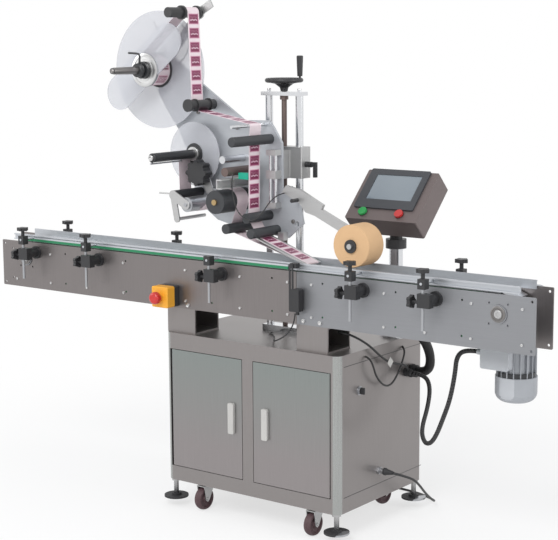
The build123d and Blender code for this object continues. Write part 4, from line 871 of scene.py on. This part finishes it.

# %% Plate screws, painted cowl shadow and seams
front_x = (-980, -812, -640, -470, -200, 24, 210, 300, 560, 700, 850, 1010)
front_screws = seated("side_plates_front", [(x, 0, z) for x in front_x for z in (690, 790)], front)
gathered("side_plate_screws", small_head, front_screws, front, bright_screw, "frame")
bracket_screws = seated("side_plates_front", [(x, 0, 676) for x in (-250, -190, 270, 332)], front)
gathered("bracket_screws", large_head, bracket_screws, front, bright_screw, "frame")
rear_x, rear_plate_face = (-980, -700, -420, -140, 140, 420, 700), 108
rear_screws = seated("side_plate_rear", [(x, rear_plate_face, z) for x in rear_x for z in (690, 800)], rear)
gathered("rear_plate_screws", small_head, rear_screws, rear, bright_screw, "frame")
head_front, head_back = 113, 123
head_screws = [(-70, 1245), (20, 1275), (150, 1090), (150, 960), (-395, 1462), (-300, 1345), (-230, 1290),
               (140, 1230)]
for name, y, side in (("head_plate_screws", head_front, front), ("head_plate_screws_rear", head_back, rear)):
    gathered(name, large_head, seated("head_plate", [(x, y, z) for x, z in head_screws], side), side,
             dull_steel, "carriage")
# A black ring between the motor's ribs, just above the cowl: painted shadow in the gaps.
cowl_shadow_place = (907, 166, 562.2)
turned("cowl_painted_shadow", [(0, 50.2), (0, 57), (13, 57), (13, 50.2)], cowl_shadow_place, (0, 0, 1), black_satin, "frame",
       closed=True, steps=56)
for height in (138, 546):
    slab("side_seam_%d" % height, (408.5, 14, height), (409.4, 460, height + 1.8), black_satin, "frame", 0.2)
column_y, bridge_top = 215, 1362
gathered("bridge_screws", large_head, [(x, column_y, bridge_top) for x in (-20, 100)], (0, 0, 1),
         bright_screw, "frame")

# %% [markdown]
# ## The strip of labels
# The strip itself is a thin solid already, bent round every roller. What the eye sees is the
# row of dark red stickers on it. Each sticker is a small flat sheet with its own UV map, so
# one procedural print serves them all. They are laid along the strip's straight runs, which
# are the common tangents of the rollers.

# %% The print on a sticker
print_ = Finish("label_print", (0.25, 0.04, 0.11), 0.4)
u = print_.axis(0, "UV")
v = print_.axis(1, "UV")


def band(signal, low, high):
    return (signal > low) * (signal < high)


frame_mask = band(u, 0.06, 0.94) * band(v, 0.07, 0.93)
inner_mask = band(u, 0.14, 0.86) * band(v, 0.16, 0.84)
waves = print_.maths("SINE", u * 21.0)
wave_mask = band(v + waves * 0.035, 0.52, 0.64) * inner_mask
dots = print_.maths("SINE", u * 44.0) * print_.maths("SINE", v * 30.0)
dot_mask = (dots > 0.35) * band(v, 0.22, 0.44) * inner_mask
ground = print_.blend(frame_mask, (0.62, 0.36, 0.45), (0.27, 0.045, 0.12))
ground = print_.blend(inner_mask, ground, (0.17, 0.02, 0.065))
ground = print_.blend(wave_mask, ground, (0.60, 0.40, 0.48))
ground = print_.blend(dot_mask, ground, (0.45, 0.20, 0.30))
print_.feed("Base Color", ground)
label_print = print_.material


# %% Stickers along a straight run
def tangent(first, second):
    """The strip's straight run between two rollers, each as X, Z, radius of the path and sense."""
    along = Vector((second[0] - first[0], second[1] - first[1]))
    length = along.length
    u_dir = along / length
    w_dir = Vector((-u_dir.y, u_dir.x))
    lean = (first[3] * first[2] - second[3] * second[2]) / length
    normal = u_dir * lean - w_dir * sqrt(1 - lean * lean)
    start = Vector(first[:2]) + normal * first[3] * first[2]
    end = Vector(second[:2]) + normal * second[3] * second[2]
    return start, end


label_high, label_wide, label_pitch = 34.0, 48.0, 44.0


def sticker(bm, uv, centre, along, across, out, size):
    """One flat sheet: centre in mm, unit vectors, and its length and width."""
    made = bmesh.ops.create_grid(bm, x_segments=1, y_segments=1, size=0.5)
    corners = made["verts"]
    flat = {vert: (vert.co.x, vert.co.y) for vert in corners}
    face = corners[0].link_faces[0]
    for vert in corners:
        a, b = flat[vert]
        vert.co = centre + along * (a * size[0]) + across * (b * size[1]) + out * 0.06
        vert.co = at(*vert.co)
    for loop in face.loops:
        a, b = flat[loop.vert]
        loop[uv].uv = (b + 0.5, a + 0.5)
    if face.normal.dot(out) < 0:
        face.normal_flip()


def label_row(name, first, second, offset):
    """A row of stickers on the left side of a straight run, from an offset in mm to its end."""
    start, end = tangent(first, second)
    run = end - start
    length = run.length
    along = Vector((run.x / length, 0, run.y / length))
    out = Vector((-along.z, 0, along.x))
    bm = bmesh.new()
    uv = bm.loops.layers.uv.new("UVMap")
    place = offset + label_high / 2
    count = 0
    while place + label_high / 2 < length:
        centre = Vector((start.x, 54, start.y)) + along * place + out * 0.4
        sticker(bm, uv, centre, along, Vector((0, 1, 0)), out, (label_high, label_wide))
        place += label_pitch
        count += 1
    bm.normal_update()
    for face in bm.faces:
        if face.normal.dot(out) < 0:
            face.normal_flip()
    mesh = bpy.data.meshes.new(name)
    bm.to_mesh(mesh)
    bm.free()
    mesh.materials.append(label_print)
    put(mesh, name, "carriage")
    print(name, count, "stickers")


gap = 0.7
top_path = (-213, 1606, 16 + gap, -1)
mid_path = (-167, 1317, 16 + gap, 1)
turn_path = (*turn_bar, 5 + gap, -1)
entry_path = (61, 1214, 15.5 + gap, 1)
lower_path = (*lower_roller, 15.5 + gap, 1)
peel_path = (*peel_roller, 15.5 + gap, 1)
tip_path = (265, 846, 2 + gap, -1)
label_row("labels_upper", top_path, mid_path, 4)
label_row("labels_slope", mid_path, turn_path, 4)
label_row("labels_lower", entry_path, lower_path, 4)
label_row("labels_peel", peel_path, tip_path, 6)

dress(backing_paper, "label_web")


# %% Stickers bent round the roll
def roll_labels():
    bm = bmesh.new()
    uv = bm.loops.layers.uv.new("UVMap")
    radius = 50.06
    step = label_pitch / radius
    turn = label_high / radius
    for index in range(7):
        low = index * step
        ends = [bm.verts.new(at(reel_x + radius * cos(low), y, reel_z + radius * sin(low))) for y in (33, 79)]
        edge = bm.edges.new(ends)
        bmesh.ops.spin(bm, geom=[*ends, edge], cent=at(reel_x, 33, reel_z), axis=(0, -1, 0), angle=turn,
                       steps=6)
    for face in bm.faces:
        face.smooth = True
        for loop in face.loops:
            spot = loop.vert.co
            angle = atan2(spot.z - reel_z / 1000, spot.x - reel_x / 1000) % (2 * pi)
            share = (angle % step) / turn if angle % step < turn + 0.01 else 0
            loop[uv].uv = (0 if spot.y < at(0, 56, 0).y else 1, share)
    bmesh.ops.remove_doubles(bm, verts=bm.verts, dist=1e-7)
    bmesh.ops.recalc_face_normals(bm, faces=bm.faces)
    bm.normal_update()
    centre = at(reel_x, 56, reel_z)
    for face in bm.faces:
        outward = face.calc_center_median() - centre
        if face.normal.dot(outward) < 0:
            face.normal_flip()
    mesh = bpy.data.meshes.new("labels_roll")
    bm.to_mesh(mesh)
    bm.free()
    mesh.materials.append(label_print)
    put(mesh, "labels_roll", "reel")


roll_labels()
dress(backing_paper, "label_roll")

# %% [markdown]
# ## Cords
# Each cord is one smooth spline through the same route as its solid tube. The mains lead's
# spare length lies in a neat coil of a little over five turns behind the cabinet, where it
# ends in its plug. The coil's points are worked out from its turns, because a coil is a circle
# repeated.


mains_route = [(431, 205, 182), (466, 205, 182), (492, 226, 172), (504, 264, 154), (499, 306, 124),
               (488, 350, 92), (474, 400, 60), (462, 452, 30), (438, 502, 11), (396, 538, 4.8),
               (342, 560, 4.3), (288, 567, 4.2)]
# The coil winds inwards on the floor, climbs onto itself, and winds a little outwards again
coil_x, coil_y = 200.0, 612.0
outer_ring, inner_ring, ring_pitch = 54, 38, 8
low_layer, layer_rise, high_layer = 4.1, 8.1, 12.2
coil = []
start_turn, turns = -0.85, 5.3647
steps = int(turns * 16)
for step in range(steps + 1):
    share = step / steps * turns
    angle = start_turn - 2 * pi * share
    if share < 2.5:
        ring = outer_ring - ring_pitch * min(share, 2.0)
    else:
        ring = inner_ring + ring_pitch * min(max(share - 3.0, 0.0), 1.0)
    climb = low_layer + layer_rise * (share - 2.4) / 0.4
    height = low_layer if share < 2.4 else min(high_layer, climb)
    coil.append((coil_x + ring * cos(angle), coil_y + ring * sin(angle), height))
hose_finish = Finish("hose_black", (0.022, 0.022, 0.024), 0.5)
hose_rings = hose_finish.maths("SINE", hose_finish.axis(0, "UV") * 620.0)
hose_finish.feed("Roughness", hose_rings * 0.1 + 0.5)
hose_finish.bump(hose_rings, 0.9, 0.003)
wrap_finish = Finish("wrapped_cable", (0.025, 0.025, 0.027), 0.45)
wrap_rings = wrap_finish.maths("SINE", wrap_finish.axis(0, "UV") * 560.0 + wrap_finish.axis(1, "UV") * 6.283)
wrap_finish.feed("Roughness", wrap_rings * 0.08 + 0.45)
wrap_finish.bump(wrap_rings, 0.8, 0.002)

cable_route = [(817, 100, 632), (773.8, 100, 632), (743.3, 106, 606), (725.1, 130, 548), (698.1, 149, 462),
               (666.1, 165, 398), (634.8, 180, 338), (601.6, 200, 300), (562.6, 228, 290), (529.4, 262, 318),
               (522.1, 316, 385), (508.2, 350, 440), (480, 360, 470), (431, 360, 470)]
hose_route = [(431, 395, 468), (459, 395, 468), (482, 392, 490), (490, 378, 535), (489, 345, 585),
              (486, 292, 625), (481, 236, 656), (476, 184, 694), (476, 122, 694)]
cable = cord_curve("motor_lead", cable_route, 14, wrap_finish.material)
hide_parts("motor_cable")
at(*cable_route[0])
hose = cord_curve("panel_hose", hose_route, 30, hose_finish.material)
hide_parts("control_hose")
at(*hose_route[0])
mains_points = mains_route + coil + [(154, 628, 12.1), (154, 640, 12.1), (154, 652, 12.1)]
mains = cord_curve("mains_lead", mains_points, 8, cord_black)
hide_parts("mains_cord", "mains_cord_coil")
at(*mains_route[0])

# %% [markdown]
# ## Thin cables
# Sensors and switches are wired with thin black cable that is held at both ends and bows
# between them. A thin brake rod lies across the reel's arm beside its cable.

# %% Thin cables
def thin_cable(name, points, diameter, body="frame"):
    cable = cord_curve(name, points, diameter, cord_black, body)
    probe = bpy.data.objects.new("probe", cable.data.copy())
    probe.data.bevel_depth = 0
    line = bpy.data.meshes.new_from_object(probe)
    bpy.data.meshes.remove(line)
    bpy.data.curves.remove(probe.data)
    at(*points[0])


thin_cable("label_sensor_cable",
           [(8, -8, 1109), (6, -14, 1084), (8, -12, 1054), (18, -14, 1012), (44, -18, 984), (80, -24, 972),
            (112, -30, 976), (133, -20, 1002), (134, 20, 1035), (128, 70, 1048), (124, 114, 1050)],
           3.6, "carriage")
thin_cable("product_sensor_cable",
           [(250, -16, 699), (249, -18, 680), (240, -19, 655), (216, -16, 628), (176, -8, 606),
            (130, 30, 592), (90, 90, 586.5), (60, 128, 586), (20, 150, 586), (20, 170, 584)], 4.2)
thin_cable("bracket_cable",
           [(357, 60, 642), (384, 58, 642), (410, 84, 626), (424, 130, 596), (430, 180, 556), (432, 226, 528),
            (436, 268, 516), (436, 316, 504), (430, 340, 488), (424, 352, 478)], 7.0)
thin_cable("brake_cable",
           [(-290, 101, 1574), (-262, 97, 1552), (-250, 97, 1512), (-262, 97, 1474), (-298, 98, 1442),
            (-318, 101, 1436)], 3.4, "carriage")
cord_curve("brake_rod", [(-402, 98, 1580), (-385, 98, 1552), (-370, 98, 1520), (-344, 98, 1466)], 3.2,
           dull_steel, "carriage")
thin_cable("control_cable",
           [(408, 130, 560), (424, 132, 556), (432, 140, 530), (432, 156, 494), (434, 196, 458),
            (432, 240, 452), (430, 280, 476), (428, 316, 520), (424, 334, 548), (408, 342, 556)], 6.0)

# %% [markdown]
# ## Small things beside the cables
# A plain tag hangs on the cable from the bracket, and a tapered rubber sleeve saves the mains
# lead from a kink where it leaves the cabinet.

# %% Small things beside the cables
turned("cable_tag", [(0, 0.2), (0, 17), (1.2, 17), (1.2, 0.2)], (436, 228, 528), (1, 0, 0),
       white_pull, "frame", steps=4)
turned("gland_taper", [(0, 4.3), (0, 11.5), (6, 12), (10, 9.6), (30, 6.2), (34, 5.0), (34, 4.3)],
       mains_route[0], (1, 0, 0), black_rubber, "frame", closed=True)
